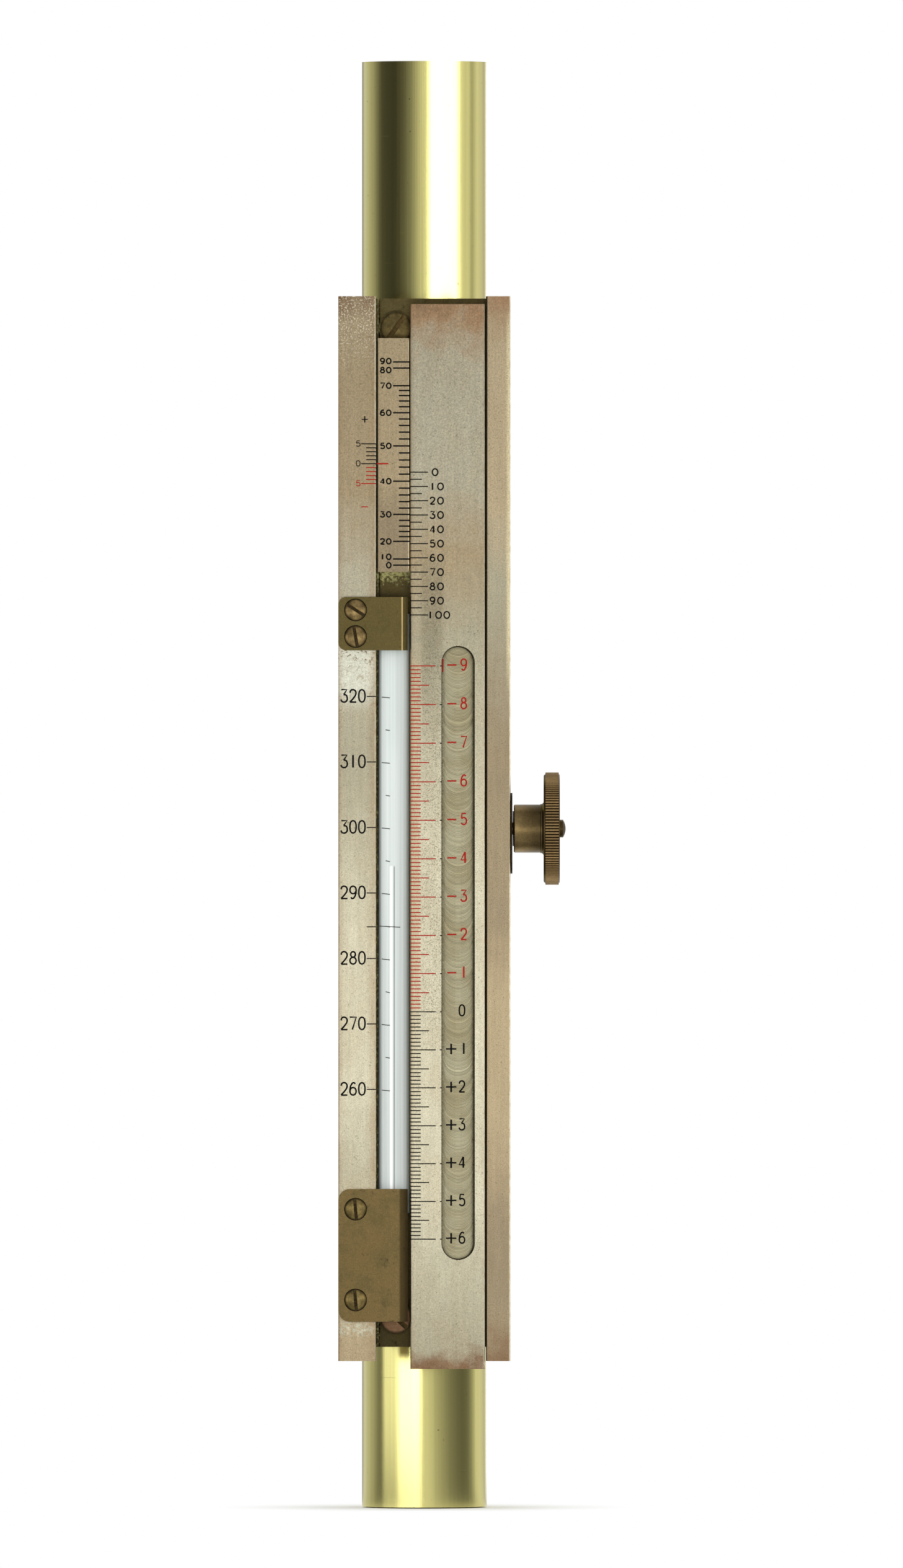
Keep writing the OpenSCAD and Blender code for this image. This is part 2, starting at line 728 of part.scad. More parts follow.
// Knob: turned body with a dished face, and a rim with a coin edge
module knob_body() {
    rim_r = rim_d / 2 - ridge_h;
    hub_r = hub_d / 2;
    w = hub_l + rim_w;
    dish = 0.35;
    translate([hub_x0, pinion_y, knob_z]) rotate([0, 90, 0]) rotate_extrude($fn = 180)
        polygon([[0, 0], [hub_r - 0.2, 0], [hub_r, 0.2], [hub_r, hub_l - 0.7], [hub_r + 0.12, hub_l - 0.6],
                 [hub_r + 0.12, hub_l - 0.3], [hub_r + 0.5, hub_l], [rim_r - shoulder, hub_l],
                 [rim_r, hub_l + shoulder], [rim_r, w - outer_shoulder], [rim_r - outer_shoulder, w],
                 [rim_r - 2.2, w], [rim_r - 2.6, w - dish], [dome_d / 2 + 1.4, w - dish],
                 [dome_d / 2 + 1, w], [0, w]]);
}

// Ring of rounded ridges that stand up from the rim between its shoulders
module coin_edge() {
    in_r = rim_d / 2 - ridge_h;
    step = 360 / ridges;
    translate([rim_x0 + shoulder, pinion_y, knob_z]) rotate([90, 0, 90])
        linear_extrude(rim_w - shoulder - outer_shoulder) difference() {
            polygon([for (k = [0:ridges - 1], p = [[0, in_r - 0.02], [0.22, rim_d / 2 - 0.06],
                                                   [0.4, rim_d / 2], [0.6, rim_d / 2],
                                                   [0.78, rim_d / 2 - 0.06]])
                let (a = (k + p[0]) * step) p[1] * [cos(a), sin(a)]]);
            circle(r = in_r - 0.5, $fn = 96);
        }
}

module milled_knob() {
    color("darkgoldenrod") difference() {
        union() {
            knob_body();
            coin_edge();
        }
        difference() {
            rod_x(shaft_d + 2 * seat_gap, hub_x0 - cut, shaft_x1 + seat_gap);
            translate([hub_x0, pinion_y - shaft_d, knob_z + shaft_d / 2 - shaft_flat + seat_gap])
                cube([rim_w + hub_l + cut, 2 * shaft_d, shaft_d]);
        }
        rod_x(knob_thread_d + 2 * seat_gap, shaft_x1 - cut, rim_x1 + cut);
    }
}

module knob_screw() {
    dome_r = 0.9 * dome_d;
    head_x = rim_x1 + seat_gap;
    color("saddlebrown") union() {
        intersection() {
            rod_x(dome_d, head_x, head_x + 2 * dome_h);
            translate([head_x + dome_h - dome_r, pinion_y, knob_z]) rotate([0, 90, 0])
                sphere(r = dome_r, $fn = 96);
        }
        rod_x(knob_thread_d, shaft_x1 - 3.5, head_x + dome_h / 2);
    }
}

// Latitude strip, clamped by a stud through a slot in the base plate

module latitude_strip() {
    color("tan") difference() {
        union() {
            upright(strip_z, strip_z + strip_l) bar_profile(strip_x0, strip_x1, strip_y, strip_back_y);
            translate([foot_x0, strip_back_y - strip_t / 2, strip_z])
                cube([foot_x1 - foot_x0, floor_y - run_gap - strip_back_y + strip_t / 2, foot_l]);
        }
        rod_y(stud_d + 2 * seat_gap, stud_x, stud_z, strip_y - cut, floor_y + cut);
    }
}

module clamp_stud() {
    color("tan") rod_y(stud_d, stud_x, stud_z, strip_y,
                       base_back_y + clamp_washer_t + nut_t + 3 * seat_gap + 0.2);
}

module clamp_washer() {
    y0 = base_back_y + seat_gap;
    color("goldenrod") difference() {
        rod_y(nut_af * 1.3, stud_x, stud_z, y0, y0 + clamp_washer_t);
        rod_y(stud_d + 2 * seat_gap, stud_x, stud_z, y0 - cut, y0 + clamp_washer_t + cut);
    }
}

module clamp_nut() {
    y0 = base_back_y + clamp_washer_t + 2 * seat_gap;
    color("goldenrod") difference() {
        translate([stud_x, y0, stud_z]) rotate([-90, 0, 0])
            cylinder(d = nut_af / cos(30), h = nut_t, $fn = 6);
        rod_y(stud_d + 2 * seat_gap, stud_x, stud_z, y0 - cut, y0 + nut_t + cut);
    }
}

// Thermometer

// Bulb and neck turned round the bore's axis, from a wall thickness inwards
module bulb_shape(inset) {
    r = bulb_r - inset;
    neck_r = bulb_r * 0.6 - inset;
    translate([stem_x, bore_y, 0]) {
        translate([0, 0, bulb_z0 + bulb_r]) sphere(r = r);
        translate([0, 0, bulb_z0 + bulb_r]) cylinder(r = r, h = bulb_l - 2 * bulb_r);
        translate([0, 0, bulb_z1 - bulb_r]) sphere(r = r);
        translate([0, 0, bulb_z1 - bulb_r]) cylinder(r = neck_r, h = bulb_r + neck_l);
    }
}

module thermometer_stem() {
    color("aliceblue") difference() {
        union() {
            difference() {
                translate([stem_x, stem_y, stem_z0]) cylinder(r = stem_r, h = stem_z1 - stem_z0);
                translate([stem_x - stem_r - cut, stem_flat_y, stem_z0 - cut])
                    cube([stem_d + 2 * cut, stem_d, stem_z1 - stem_z0 + 2 * cut]);
            }
            bulb_shape(0);
        }
        bulb_shape(bulb_wall);
        translate([stem_x, bore_y, stem_z0 - neck_l]) cylinder(d = stem_bore_d, h = stem_z1 - stem_z0 - 1);
    }
}

module thermometer_backing() {
    half = stem_x - rib_x1 - 0.1;
    color("white") translate([stem_x - half, stem_flat_y + seat_gap, stem_z0])
        cube([2 * half, backing_t, stem_z1 - stem_z0]);
}

module thermometer_mercury() {
    color("silver") union() {
        bulb_shape(bulb_wall + seat_gap);
        translate([stem_x, bore_y, bulb_z1]) cylinder(d = stem_bore_d - 2 * seat_gap,
                                                      h = block_z + thread_top - bulb_z1);
    }
}

// Brackets: flat sheet on the left bar, reaching over the stem, with its right edge bent back

module bracket_profile() {
    steps = 8;
    outer = [for (i = [0:steps]) let (a = bend_angle * i / steps)
        [bend_x + bend_r * sin(a), sheet_y + bend_r * (1 - cos(a))]];
    inner = [for (i = [steps:-1:0]) let (a = bend_angle * i / steps, r = bend_r - sheet_t)
        [bend_x + r * sin(a), sheet_y + bend_r - r * cos(a)]];
    polygon(concat([[left_x, sheet_y]], outer, inner, [[left_x, face_y - seat_gap]]));
}

// Front view of a bracket, with its two left corners rounded
module bracket_outline(h, r) {
    w = bracket_reach + 2;
    translate([r, 0]) square([w - r, h]);
    translate([0, r]) square([w, h - 2 * r]);
    for (z = [r, h - r]) translate([r, z]) circle(r = r);
}

module bracket(z0, h, r, screw_z) {
    color("olive") difference() {
        intersection() {
            upright(z0, z0 + h) bracket_profile();
            translate([left_x, face_y + bar_t, z0]) rotate([90, 0, 0])
                linear_extrude(bar_t + sheet_t + cut) bracket_outline(h, r);
        }
        // Holes for the screws, with shallow seats that their heads sit in
        for (z = screw_z) {
            rod_y(bracket_shank_d + 0.2, bracket_screw_x, z, sheet_y - cut, face_y + cut);
            rod_y(bracket_head_d + 0.3, bracket_screw_x, z, sheet_y - cut, sheet_y + bracket_seat);
        }
    }
}

module upper_bracket() { bracket(upper_z, upper_h, upper_r, upper_screw_z); }

module lower_bracket() { bracket(lower_z, lower_h, lower_r, lower_screw_z); }

module bracket_screw_pair(places, turns) {
    color("goldenrod") for (i = [0, 1])
        cheese_screw(bracket_screw_x, places[i], sheet_y + bracket_seat - seat_gap, bracket_tip_y,
                     bracket_head_d, bracket_head_h, bracket_shank_d, 0.65, turns[i]);
}

module upper_bracket_screws() { bracket_screw_pair(upper_screw_z, upper_turn); }

module lower_bracket_screws() { bracket_screw_pair(lower_screw_z, lower_turn); }

// Cork between each bracket and the front of the stem
module cork_pad(z0, z1) {
    half = bend_x - stem_x - 0.05;
    difference() {
        translate([stem_x - half, face_y + seat_gap, z0]) cube([2 * half, 1.2, z1 - z0]);
        translate([stem_x, stem_y, z0 - cut]) cylinder(r = stem_r + seat_gap, h = z1 - z0 + 2 * cut);
    }
}

module cork_pads() {
    color("peru") {
        cork_pad(upper_z + 1, stem_z1 - 0.5);
        cork_pad(stem_z0 + 0.5, lower_z + lower_h - 0.6);
    }
}

barometer_tube();
glass_tube();
mercury_column();
lower_packing();
upper_packing();
lower_saddle();
upper_saddle();
base_plate();
base_screws();
left_bar();
right_bar();
left_bar_screws();
right_bar_screws();
correction_slide();
slide_rack();
rack_screws();
pinion();
pinion_shaft();
bearing_bush();
bush_screws();
friction_washer();
milled_knob();
knob_screw();
latitude_strip();
clamp_stud();
clamp_washer();
clamp_nut();
thermometer_stem();
thermometer_backing();
thermometer_mercury();
upper_bracket();
lower_bracket();
upper_bracket_screws();
lower_bracket_screws();
cork_pads();
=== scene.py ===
import math

import bmesh
import bpy
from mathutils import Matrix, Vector


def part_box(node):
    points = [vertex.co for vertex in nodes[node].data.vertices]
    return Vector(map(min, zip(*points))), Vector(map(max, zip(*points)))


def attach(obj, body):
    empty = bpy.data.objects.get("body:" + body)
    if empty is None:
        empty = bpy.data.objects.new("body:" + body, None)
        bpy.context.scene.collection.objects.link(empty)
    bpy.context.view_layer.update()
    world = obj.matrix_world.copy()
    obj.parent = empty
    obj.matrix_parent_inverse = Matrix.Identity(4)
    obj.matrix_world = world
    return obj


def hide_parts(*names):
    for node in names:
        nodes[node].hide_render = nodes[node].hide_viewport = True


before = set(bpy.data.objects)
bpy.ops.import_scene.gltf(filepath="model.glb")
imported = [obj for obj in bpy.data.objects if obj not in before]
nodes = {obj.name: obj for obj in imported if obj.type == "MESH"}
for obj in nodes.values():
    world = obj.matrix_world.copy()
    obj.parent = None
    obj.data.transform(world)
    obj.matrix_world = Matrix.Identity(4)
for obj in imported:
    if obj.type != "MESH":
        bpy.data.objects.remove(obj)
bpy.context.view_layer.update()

mm = 0.001


def newObject(name, data):
    thing = bpy.data.objects.new(name, data)
    bpy.context.scene.collection.objects.link(thing)
    return thing


def blankTree(owner):
    owner.use_nodes = True
    owner.node_tree.nodes.clear()
    return owner.node_tree


def evaluatedMesh(thing):
    # the object's mesh with its modifiers or its curve's bevel
    bpy.context.view_layer.update()
    return bpy.data.meshes.new_from_object(thing.evaluated_get(bpy.context.evaluated_depsgraph_get()))


# Camera: a long lens straight in front, with the tube's whole length in view
camera = {"distance": 7.0, "aim": (0.0055, 0.147), "frameHeight": 0.3179, "frontY": -0.0272}

lens = bpy.data.cameras.new("viewCamera")
lens.sensor_fit = "VERTICAL"
lens.lens = camera["distance"] * lens.sensor_height / camera["frameHeight"]
lens.clip_end = 60
viewCamera = newObject("viewCamera", lens)
viewCamera.location = (camera["aim"][0], camera["frontY"] - camera["distance"], camera["aim"][1])
viewCamera.rotation_euler = (math.radians(90), 0, 0)
bpy.context.scene.camera = viewCamera
bpy.context.scene.view_settings.view_transform = "Standard"
print("camera placed")


# Small helpers for node trees

def tone(red, green, blue):
    # a colour as the screen shows it, 0 to 255, as a linear one
    parts = [value / 255 for value in (red, green, blue)]
    return (*[v / 12.92 if v <= 0.04045 else ((v + 0.055) / 1.055) ** 2.4 for v in parts], 1.0)


def feed(node, key, value):
    # links a socket to the input, or sets a fixed value there
    if isinstance(value, bpy.types.NodeSocket):
        node.id_data.links.new(value, node.inputs[key])
    else:
        node.inputs[key].default_value = value


def put(kind, inputs=None, tree=None, **settings):
    # a new node, in the tree of the first socket that feeds it, or in the tree given
    inputs = inputs or {}
    tree = tree or next(value.id_data for value in inputs.values() if isinstance(value, bpy.types.NodeSocket))
    node = tree.nodes.new(kind if kind.startswith("Node") else "ShaderNode" + kind)
    for key, value in settings.items():
        setattr(node, key, value)
    for key, value in inputs.items():
        feed(node, key, value)
    return node


def calc(operation, *values):
    return put("Math", dict(enumerate(values)), operation=operation).outputs[0]


def plus(first, second):
    return calc("ADD", first, second)


def minus(first, second):
    return calc("SUBTRACT", first, second)


def times(first, *others):
    for other in others:
        first = calc("MULTIPLY", first, other)
    return first


def rise(value, low, high):
    # 0 up to low, 1 from high on, smooth between
    return put("MapRange", {0: value, 1: low, 2: high}, interpolation_type="SMOOTHSTEP").outputs[0]


def fall(value, low, high):
    # 1 up to low, 0 from high on
    return minus(1.0, rise(value, low, high))


def within(value, low, lowFull, highFull, high):
    # 0 up to low, 1 between the full places, 0 from high on
    return times(rise(value, low, lowFull), fall(value, highFull, high))


def beside(value, middle, inner, outer):
    # 1 as near to the middle as inner, 0 from outer on
    return fall(calc("ABSOLUTE", minus(value, middle)), inner, outer)


def spread(value, low, high):
    # low to high as value runs from 0 to 1
    return put("MapRange", {0: value, 3: low, 4: high}).outputs[0]


def mixTones(factor, first, second):
    return put("Mix", {0: factor, 6: first, 7: second}, data_type="RGBA").outputs[2]


def between(factor, first, second):
    return mixTones(factor, tone(*first), tone(*second))


def stained(colour, stain, *amounts):
    # the colour with the stain over it, as far as the amounts together let it show
    return mixTones(times(*amounts), colour, tone(*stain))


def toned(colour, value, low, high):
    # the colour times a number that runs from low to high as value runs from 0 to 1
    plain = colour if isinstance(colour, bpy.types.NodeSocket) else colour[:3]
    return put("VectorMath", {0: plain, 3: spread(value, low, high)}, operation="SCALE").outputs[0]


def scaled(vector, across, deep, along, shift=(0, 0, 0)):
    return put("Mapping", {"Vector": vector, "Location": shift, "Scale": (across, deep, along)}).outputs[0]


def moved(vector, *shift):
    return scaled(vector, 1, 1, 1, shift)


def toneRamp(value, low, high, stops):
    # a colour that passes through the stops as value runs from low to high
    ramp = put("ValToRGB", {0: put("MapRange", {0: value, 1: low, 2: high}).outputs[0]})
    for k, (at, colour) in enumerate(stops):
        stop = ramp.color_ramp.elements[k] if k < 2 else ramp.color_ramp.elements.new(1.0)
        stop.position = (at - low) / (high - low)
        stop.color = colour
    return ramp.outputs[0]


def noise(vector, scale, detail=2.0, rough=0.5, warp=0.0):
    return put("TexNoise", {"Vector": vector, "Scale": scale, "Detail": detail, "Roughness": rough,
                            "Distortion": warp}).outputs["Fac"]


def blots(vector, scale, detail, rough, low, high, warp=0.0):
    # patches where the noise passes from low to high
    return rise(noise(vector, scale, detail, rough, warp), low, high)


def made(name, build, *facts, **more):
    # a material: build gets its shader, its coordinates in millimetres, their three parts and the facts
    material = bpy.data.materials.new(name)
    tree = blankTree(material)
    shader = put("BsdfPrincipled", tree=tree)
    put("OutputMaterial", {"Surface": shader.outputs[0]})
    place = scaled(put("TexCoord", tree=tree).outputs["Object"], 1000, 1000, 1000)
    parts = put("SeparateXYZ", {0: place}).outputs
    build(shader, place, parts, *facts, **more)
    return material


def finishShader(shader, colour, roughness, height, bump, reach, normal=None, **fixed):
    # the relief of the height is reach millimetres deep at a bump of 1
    relief = put("Bump", {"Height": height, "Strength": bump, "Distance": reach * mm})
    if normal is not None:
        feed(relief, "Normal", normal)
    feed(shader, "Base Color", colour)
    feed(shader, "Roughness", roughness)
    feed(shader, "Normal", relief.outputs[0])
    for key, value in fixed.items():
        feed(shader, key.replace("_", " "), value)


# Effects that several finishes share

def newGroup(name, numbers, outputs):
    # a group that takes a vector and the numbers, and gives values
    group = bpy.data.node_groups.new(name, "ShaderNodeTree")
    group.interface.new_socket("Vector", in_out="INPUT", socket_type="NodeSocketVector")
    for label, value in numbers.items():
        group.interface.new_socket(label, in_out="INPUT", socket_type="NodeSocketFloat").default_value = value
    for label in outputs:
        group.interface.new_socket(label, in_out="OUTPUT", socket_type="NodeSocketFloat")
    return group, put("NodeGroupInput", tree=group).outputs, put("NodeGroupOutput", tree=group)


def makeBrushing():
    # fine lines left by emery along the piece, with a coarser run of them below
    group, given, out = newGroup("brushing", {"Fine": 9.0, "Length": 14.0}, ["Streaks"])
    parts = put("SeparateXYZ", {0: given["Vector"]}).outputs
    run = [times(parts[0], given["Fine"]), times(parts[1], given["Fine"]),
           times(parts[2], calc("DIVIDE", 1.0, given["Length"]))]
    vector = put("CombineXYZ", dict(enumerate(run))).outputs[0]
    fine = noise(vector, 1.0, 3.0, 0.6)
    coarse = noise(scaled(vector, 0.22, 0.22, 0.5), 1.0, 2.0, 0.5)
    feed(out, "Streaks", plus(times(fine, 0.6), times(coarse, 0.4)))
    return group


def makeMottle():
    # leathery grain of old silvering, and broad clouds under it
    group, given, out = newGroup("mottle", {"Size": 0.25}, ["Grain", "Clouds"])
    scale = calc("DIVIDE", 1.0, given["Size"])
    feed(out, "Grain", blots(given["Vector"], scale, 3.0, 0.62, 0.3, 0.7, 0.3))
    stretched = scaled(given["Vector"], 1, 1, 0.45)
    feed(out, "Clouds", blots(stretched, 0.16, 3.0, 0.6, 0.32, 0.68, 0.5))
    return group


def makeTurnedRings():
    # rings of the lathe round the point where the vector is zero
    group, given, out = newGroup("turnedRings", {"Fine": 9.0}, ["Rings", "Radius"])
    radius = put("VectorMath", {0: given["Vector"]}, operation="LENGTH").outputs["Value"]
    vector = put("CombineXYZ", {0: times(radius, given["Fine"])}).outputs[0]
    feed(out, "Rings", noise(vector, 1.0, 2.0, 0.6))
    feed(out, "Radius", radius)
    return group


brushing, mottle, turnedRings = makeBrushing(), makeMottle(), makeTurnedRings()


def brushed(vector, fine, length):
    return put("Group", {"Vector": vector, "Fine": fine, "Length": length}, node_tree=brushing).outputs[0]


def mottled(vector, size):
    return put("Group", {"Vector": vector, "Size": size}, node_tree=mottle).outputs


print("shared effects made")

# Front faces from left to right, in millimetres: where each starts and ends, and how near the reader it is
bars = {"face": -27.2, "leftOut": -17.45, "leftIn": -9.8, "rightIn": 12.5, "rightOut": 17.45, "edge": 0.2}
latitude = {"left": -9.65, "right": -3.0, "face": -27.0, "middle": 211.97, "swing": 20.6, "long": -6.35, "short": -5.18,
            "stroke": 0.34, "width": 1.16, "zero": 1.26, "height": 1.42, "centres": (-8.49, -7.22), "index": -7.28}
correction = {"left": -2.85, "right": 12.35, "zero": 100.82, "step": 7.727, "bend": 0.0072, "unit": 2.3, "half": 0.95,
              "tenth": -0.73, "stroke": 0.25, "floor": -26.3, "sign": 5.43, "minus": 2.2, "plus": 2.5,
              "figure": (1.5, 2.6), "figureStroke": 0.36, "lift": 0.28, "recess": (3.47, 10.22)}

# Silvered brass of the bars, the slide and the strip. Tarnish and painted sheen: (height in mm, tone) along the piece.
# The tones hold the tarnish and also a painted broad highlight, brightest in the lower middle and darker towards both
# ends.
silver = {"pale": (223, 216, 188), "light": (205, 199, 172), "ash": (200, 193, 168), "grey": (188, 182, 156),
          "warm": (208, 189, 154), "tan": (192, 173, 138), "brown": (187, 168, 134), "umber": (166, 149, 120),
          "rose": (186, 150, 114), "copper": (142, 111, 83), "dark": (96, 84, 58), "bare": (242, 234, 208),
          "browned": (168, 140, 104), "rubbed": (255, 240, 190), "handled": (204, 187, 152), "roughness": (0.32, 0.46)}
tarnishAndSheen = {
    "leftBar": [(31, "tan"), (50, "warm"), (68, "light"), (84, "pale"), (115, "pale"), (132, "light"), (150, "grey"),
                (190, "ash"), (207, "brown"), (240, "brown"), (247, "copper")],
    "rightBar": [(31, "copper"), (39, "umber"), (60, "umber"), (76, "tan"), (104, "tan"), (120, "umber"),
                 (155, "umber"), (186, "grey"), (202, "warm"), (236, "warm"), (248, "rose")],
    "slide": [(28, "copper"), (33, "grey"), (48, "light"), (62, "pale"), (138, "pale"), (160, "light"), (176, "grey"),
              (194, "brown"), (208, "ash"), (234, "ash"), (242, "rose"), (248, "copper")],
    "strip": [(190, "umber"), (200, "umber"), (210, "tan"), (242, "tan")],
}

# Where wear, dirt and painted light and shade lie, in millimetres: across the piece or up it
wearAndPaintedLight = {"freckles": (228.0, 242.0), "rubbedFade": (14.0, 6.0), "handledAcross": (-1.6, -0.5),
        "handledUp": (70.0, 118.0, 170.0, 177.0), "landAcross": (-0.9, -0.2, 3.2, 4.0),
        "landUp": (84.0, 104.0, 186.0, 196.0), "landShade": (150.0, 180.0), "damp": (160.0, 168.0, 175.0, 178.0),
        "dampSpecks": (168.0, 173.0), "lowCrust": (36.6, 0.6, 2.0), "floorCrust": (181.0, 190.5, 190.5, 192.0),
        "rib": (-9.0, -8.6), "floorFront": (-22.0, -21.6), "floorFoot": (40.0, 52.0), "floorTop": (228.0, 240.0),
        "guardFold": (-5.3, -4.7), "clipFold": (-4.4, -4.2), "clipHighlightLine": (-4.5, 0.06, 0.2)}


def silveredBrass(shader, place, parts, seed, tarnishAndSheenKey, browned=(), freckles=0.0, band=None, rubbed=None):
    # browned: (edge, reach, amount) across the piece. The last argument: (edge, reach, foot, top) of a painted
    # highlight along a rounded edge.
    own = moved(place, seed, seed * 0.7, seed * 1.3)
    streaks = brushed(own, 5.0, 7.0)
    spots = mottled(own, 0.34)
    wobble = times(minus(noise(own, 0.24, 3.0, 0.6), 0.5), 16.0)
    # tones by height: tarnish, and a painted broad highlight in the lower middle
    stops = [(at, tone(*silver[key])) for at, key in tarnishAndSheen[tarnishAndSheenKey]]
    colour = toneRamp(plus(parts[2], wobble), 20.0, 255.0, stops)
    colour = stained(colour, silver["brown"], spots["Clouds"], 0.26)
    if band:
        colour = band(colour, parts, own)
    patchy = blots(scaled(own, 1.0, 1.0, 0.35), 0.5, 3.0, 0.6, 0.25, 0.75)
    for edge, reach, amount in browned:
        near = beside(parts[0], edge, 0.0, reach)
        colour = stained(colour, silver["browned"], near, spread(patchy, amount * 0.4, amount))
    # a painted highlight along the rounded edge, near its top
    if rubbed:
        edge, reach, foot, top = rubbed
        near = rise(parts[0], edge - reach, edge - reach * 0.3)
        span = within(parts[2], foot, foot + wearAndPaintedLight["rubbedFade"][0], top - wearAndPaintedLight["rubbedFade"][1], top)
        colour = stained(colour, silver["rubbed"], near, span, 0.7)
    if freckles:
        fleck = blots(scaled(own, 1.0, 1.0, 0.8, (3, 3, 3)), 3.4, 2.0, 0.55, 0.54, 0.62)
        colour = stained(colour, silver["bare"], fleck, rise(parts[2], *wearAndPaintedLight["freckles"]), freckles)
    colour = toned(toned(colour, spots["Grain"], 0.8, 1.14), streaks, 0.76, 1.26)
    fine = blots(scaled(own, 1, 1, 0.6, (11, 5, 8)), 6.5, 2.0, 0.6, 0.3, 0.7)
    colour = toned(colour, fine, 0.88, 1.12)
    pits = blots(own, 2.8, 3.0, 0.7, 0.6, 0.7)
    colour = stained(colour, silver["dark"], pits, 0.62)
    roughness = spread(spots["Grain"], *silver["roughness"])
    height = plus(times(spots["Grain"], 0.6), times(streaks, 0.5))
    finishShader(shader, colour, roughness, height, 0.5, 0.02, Metallic=1.0)


def slideBand(colour, parts, own):
    # handling has browned the edge with the short divisions, and darkened the land beside the recess
    handled = times(fall(parts[0], *wearAndPaintedLight["handledAcross"]), within(parts[2], *wearAndPaintedLight["handledUp"]))
    rough = blots(own, 0.9, 3.0, 0.6, 0.25, 0.75)
    colour = stained(colour, silver["handled"], handled, spread(rough, 0.5, 0.95))
    land = times(within(parts[0], *wearAndPaintedLight["landAcross"]), within(parts[2], *wearAndPaintedLight["landUp"]))
    speck = blots(moved(own, 4, 4, 9), 4.6, 2.0, 0.6, 0.54, 0.62)
    shade = times(rise(parts[2], *wearAndPaintedLight["landShade"]), 0.3)
    colour = stained(colour, (128, 120, 96), land, shade)
    return stained(colour, (110, 102, 78), speck, land, 0.55)


def pitchedPatch(colour, parts, own):
    # damp kept by the brackets: pale silver with brown specks below the upper one, pale crust below the lower one
    near = within(parts[2], *wearAndPaintedLight["damp"])
    colour = stained(colour, (236, 236, 216), near, blots(own, 0.6, 3.0, 0.6, 0.28, 0.5), 0.95)
    speck = blots(scaled(own, 1, 1, 1.4, (7, 2, 2)), 1.5, 3.0, 0.6, 0.58, 0.64)
    close = times(near, rise(parts[2], *wearAndPaintedLight["dampSpecks"]))
    colour = stained(colour, (120, 84, 44), close, speck, 0.8)
    low = beside(parts[2], *wearAndPaintedLight["lowCrust"])
    return stained(colour, (214, 214, 190), low, blots(own, 1.2, 4.0, 0.7, 0.42, 0.6), 0.85)


def wornEdge(shader, place, parts):
    # edges rubbed through to bright metal
    bare = blots(scaled(place, 2, 2, 0.7), 1.0, 3.0, 0.6, 0.3, 0.6)
    colour = between(bare, (232, 206, 162), (254, 244, 212))
    finishShader(shader, colour, 0.3, noise(place, 6.0, 2.0), 0.1, 0.02, Metallic=1.0)


def grimeIn(shader, place, parts, dark, light):
    # painted shade for slots, gaps, walls and seats, dark and crumbly as dried polish and dirt
    crumb = blots(place, 3.0, 4.0, 0.7, 0.35, 0.7)
    colour = between(crumb, dark, light)
    finishShader(shader, colour, 0.85, crumb, 0.5, 0.03, Specular_IOR_Level=0.1)


def recessFloor(shader, place, parts):
    # crescents left by the end mill, one for each step of its feed, and painted shade along the recess's walls
    mill = {"centre": 6.845, "radius": 2.95, "feed": 0.3, "ends": (53.875, 171.625), "lean": 0.12,
            "rim": (2.5, 3.2), "corner": (2.98, 3.24)}
    wave = 2 * math.pi / mill["feed"]
    drift = times(minus(noise(place, 0.5, 2.0), 0.5), 0.25)
    across = minus(parts[0], mill["centre"])
    inside = minus(mill["radius"] ** 2, times(across, across))
    swing = calc("SQRT", calc("MAXIMUM", inside, 0.0))
    step = plus(plus(parts[2], swing), drift)
    lines = calc("SINE", times(step, wave))
    counter = calc("SINE", times(minus(parts[2], swing), wave))
    along = put("CombineXYZ", {2: step}).outputs[0]
    groups = blots(along, 0.75, 3.0, 0.6, 0.38, 0.64)
    uneven = minus(noise(along, 1.5, 2.0, 0.7), 0.5)
    cuts = plus(times(lines, 0.5), times(uneven, 5.0))
    cuts = plus(times(cuts, spread(groups, 0.4, 1.0)), times(counter, 0.12))
    # painted shade: darker towards the walls, leaning to the right side, with a near-black outline along the edge
    past = calc("MAXIMUM", minus(parts[2], mill["ends"][1]), minus(mill["ends"][0], parts[2]))
    past = calc("MAXIMUM", past, 0.0)
    lean = plus(across, mill["lean"])
    reach = calc("SQRT", plus(times(lean, lean), times(past, past)))
    blot = blots(place, 1.1, 4.0, 0.7, 0.4, 0.7)
    cloud = blots(place, 0.12, 3.0, 0.6, 0.3, 0.7)
    colour = between(cloud, (198, 191, 158), (180, 169, 133))
    colour = stained(colour, (104, 99, 74), rise(reach, *mill["rim"]), spread(blot, 0.25, 0.85))
    colour = stained(colour, (44, 41, 28), rise(reach, *mill["corner"]), 0.92)
    colour = toned(colour, rise(cuts, -1.1, 1.1), 0.54, 1.26)
    finishShader(shader, colour, 0.42, cuts, 0.6, 0.03, Metallic=1.0)


def markFill(shader, place, parts, full, thin, loss):
    # wax rubbed into the engraving, lost in places
    worn = blots(place, 1.6, 3.0, 0.65, 1.0 - loss, 1.08 - loss)
    colour = between(worn, full, thin)
    finishShader(shader, colour, 0.7, noise(place, 8.0, 2.0), 0.4, 0.02, Specular_IOR_Level=0.15)


def agedBrass(shader, place, parts, base, light, dark, seed, grain, blotch, extra=None):
    # brass gone brown in clouds, with dark stains. extra adds what only this piece has.
    own = moved(place, seed, -seed, seed * 0.6)
    spots = mottled(own, grain)
    streaks = brushed(own, 6.0, 8.0)
    broad = blots(own, blotch, 4.0, 0.65, 0.34, 0.66, 0.4)
    colour = between(broad, base, light)
    stains = blots(moved(own, 31, 7, 3), blotch * 2.2, 5.0, 0.7, 0.58, 0.72)
    colour = stained(colour, dark, stains, 0.75)
    colour = toned(toned(colour, spots["Grain"], 0.82, 1.14), streaks, 0.9, 1.1)
    if extra:
        colour = extra(colour, parts, own)
    height = plus(spots["Grain"], times(streaks, 0.4))
    finishShader(shader, colour, spread(broad, 0.36, 0.52), height, 0.3, 0.02, Metallic=1.0)


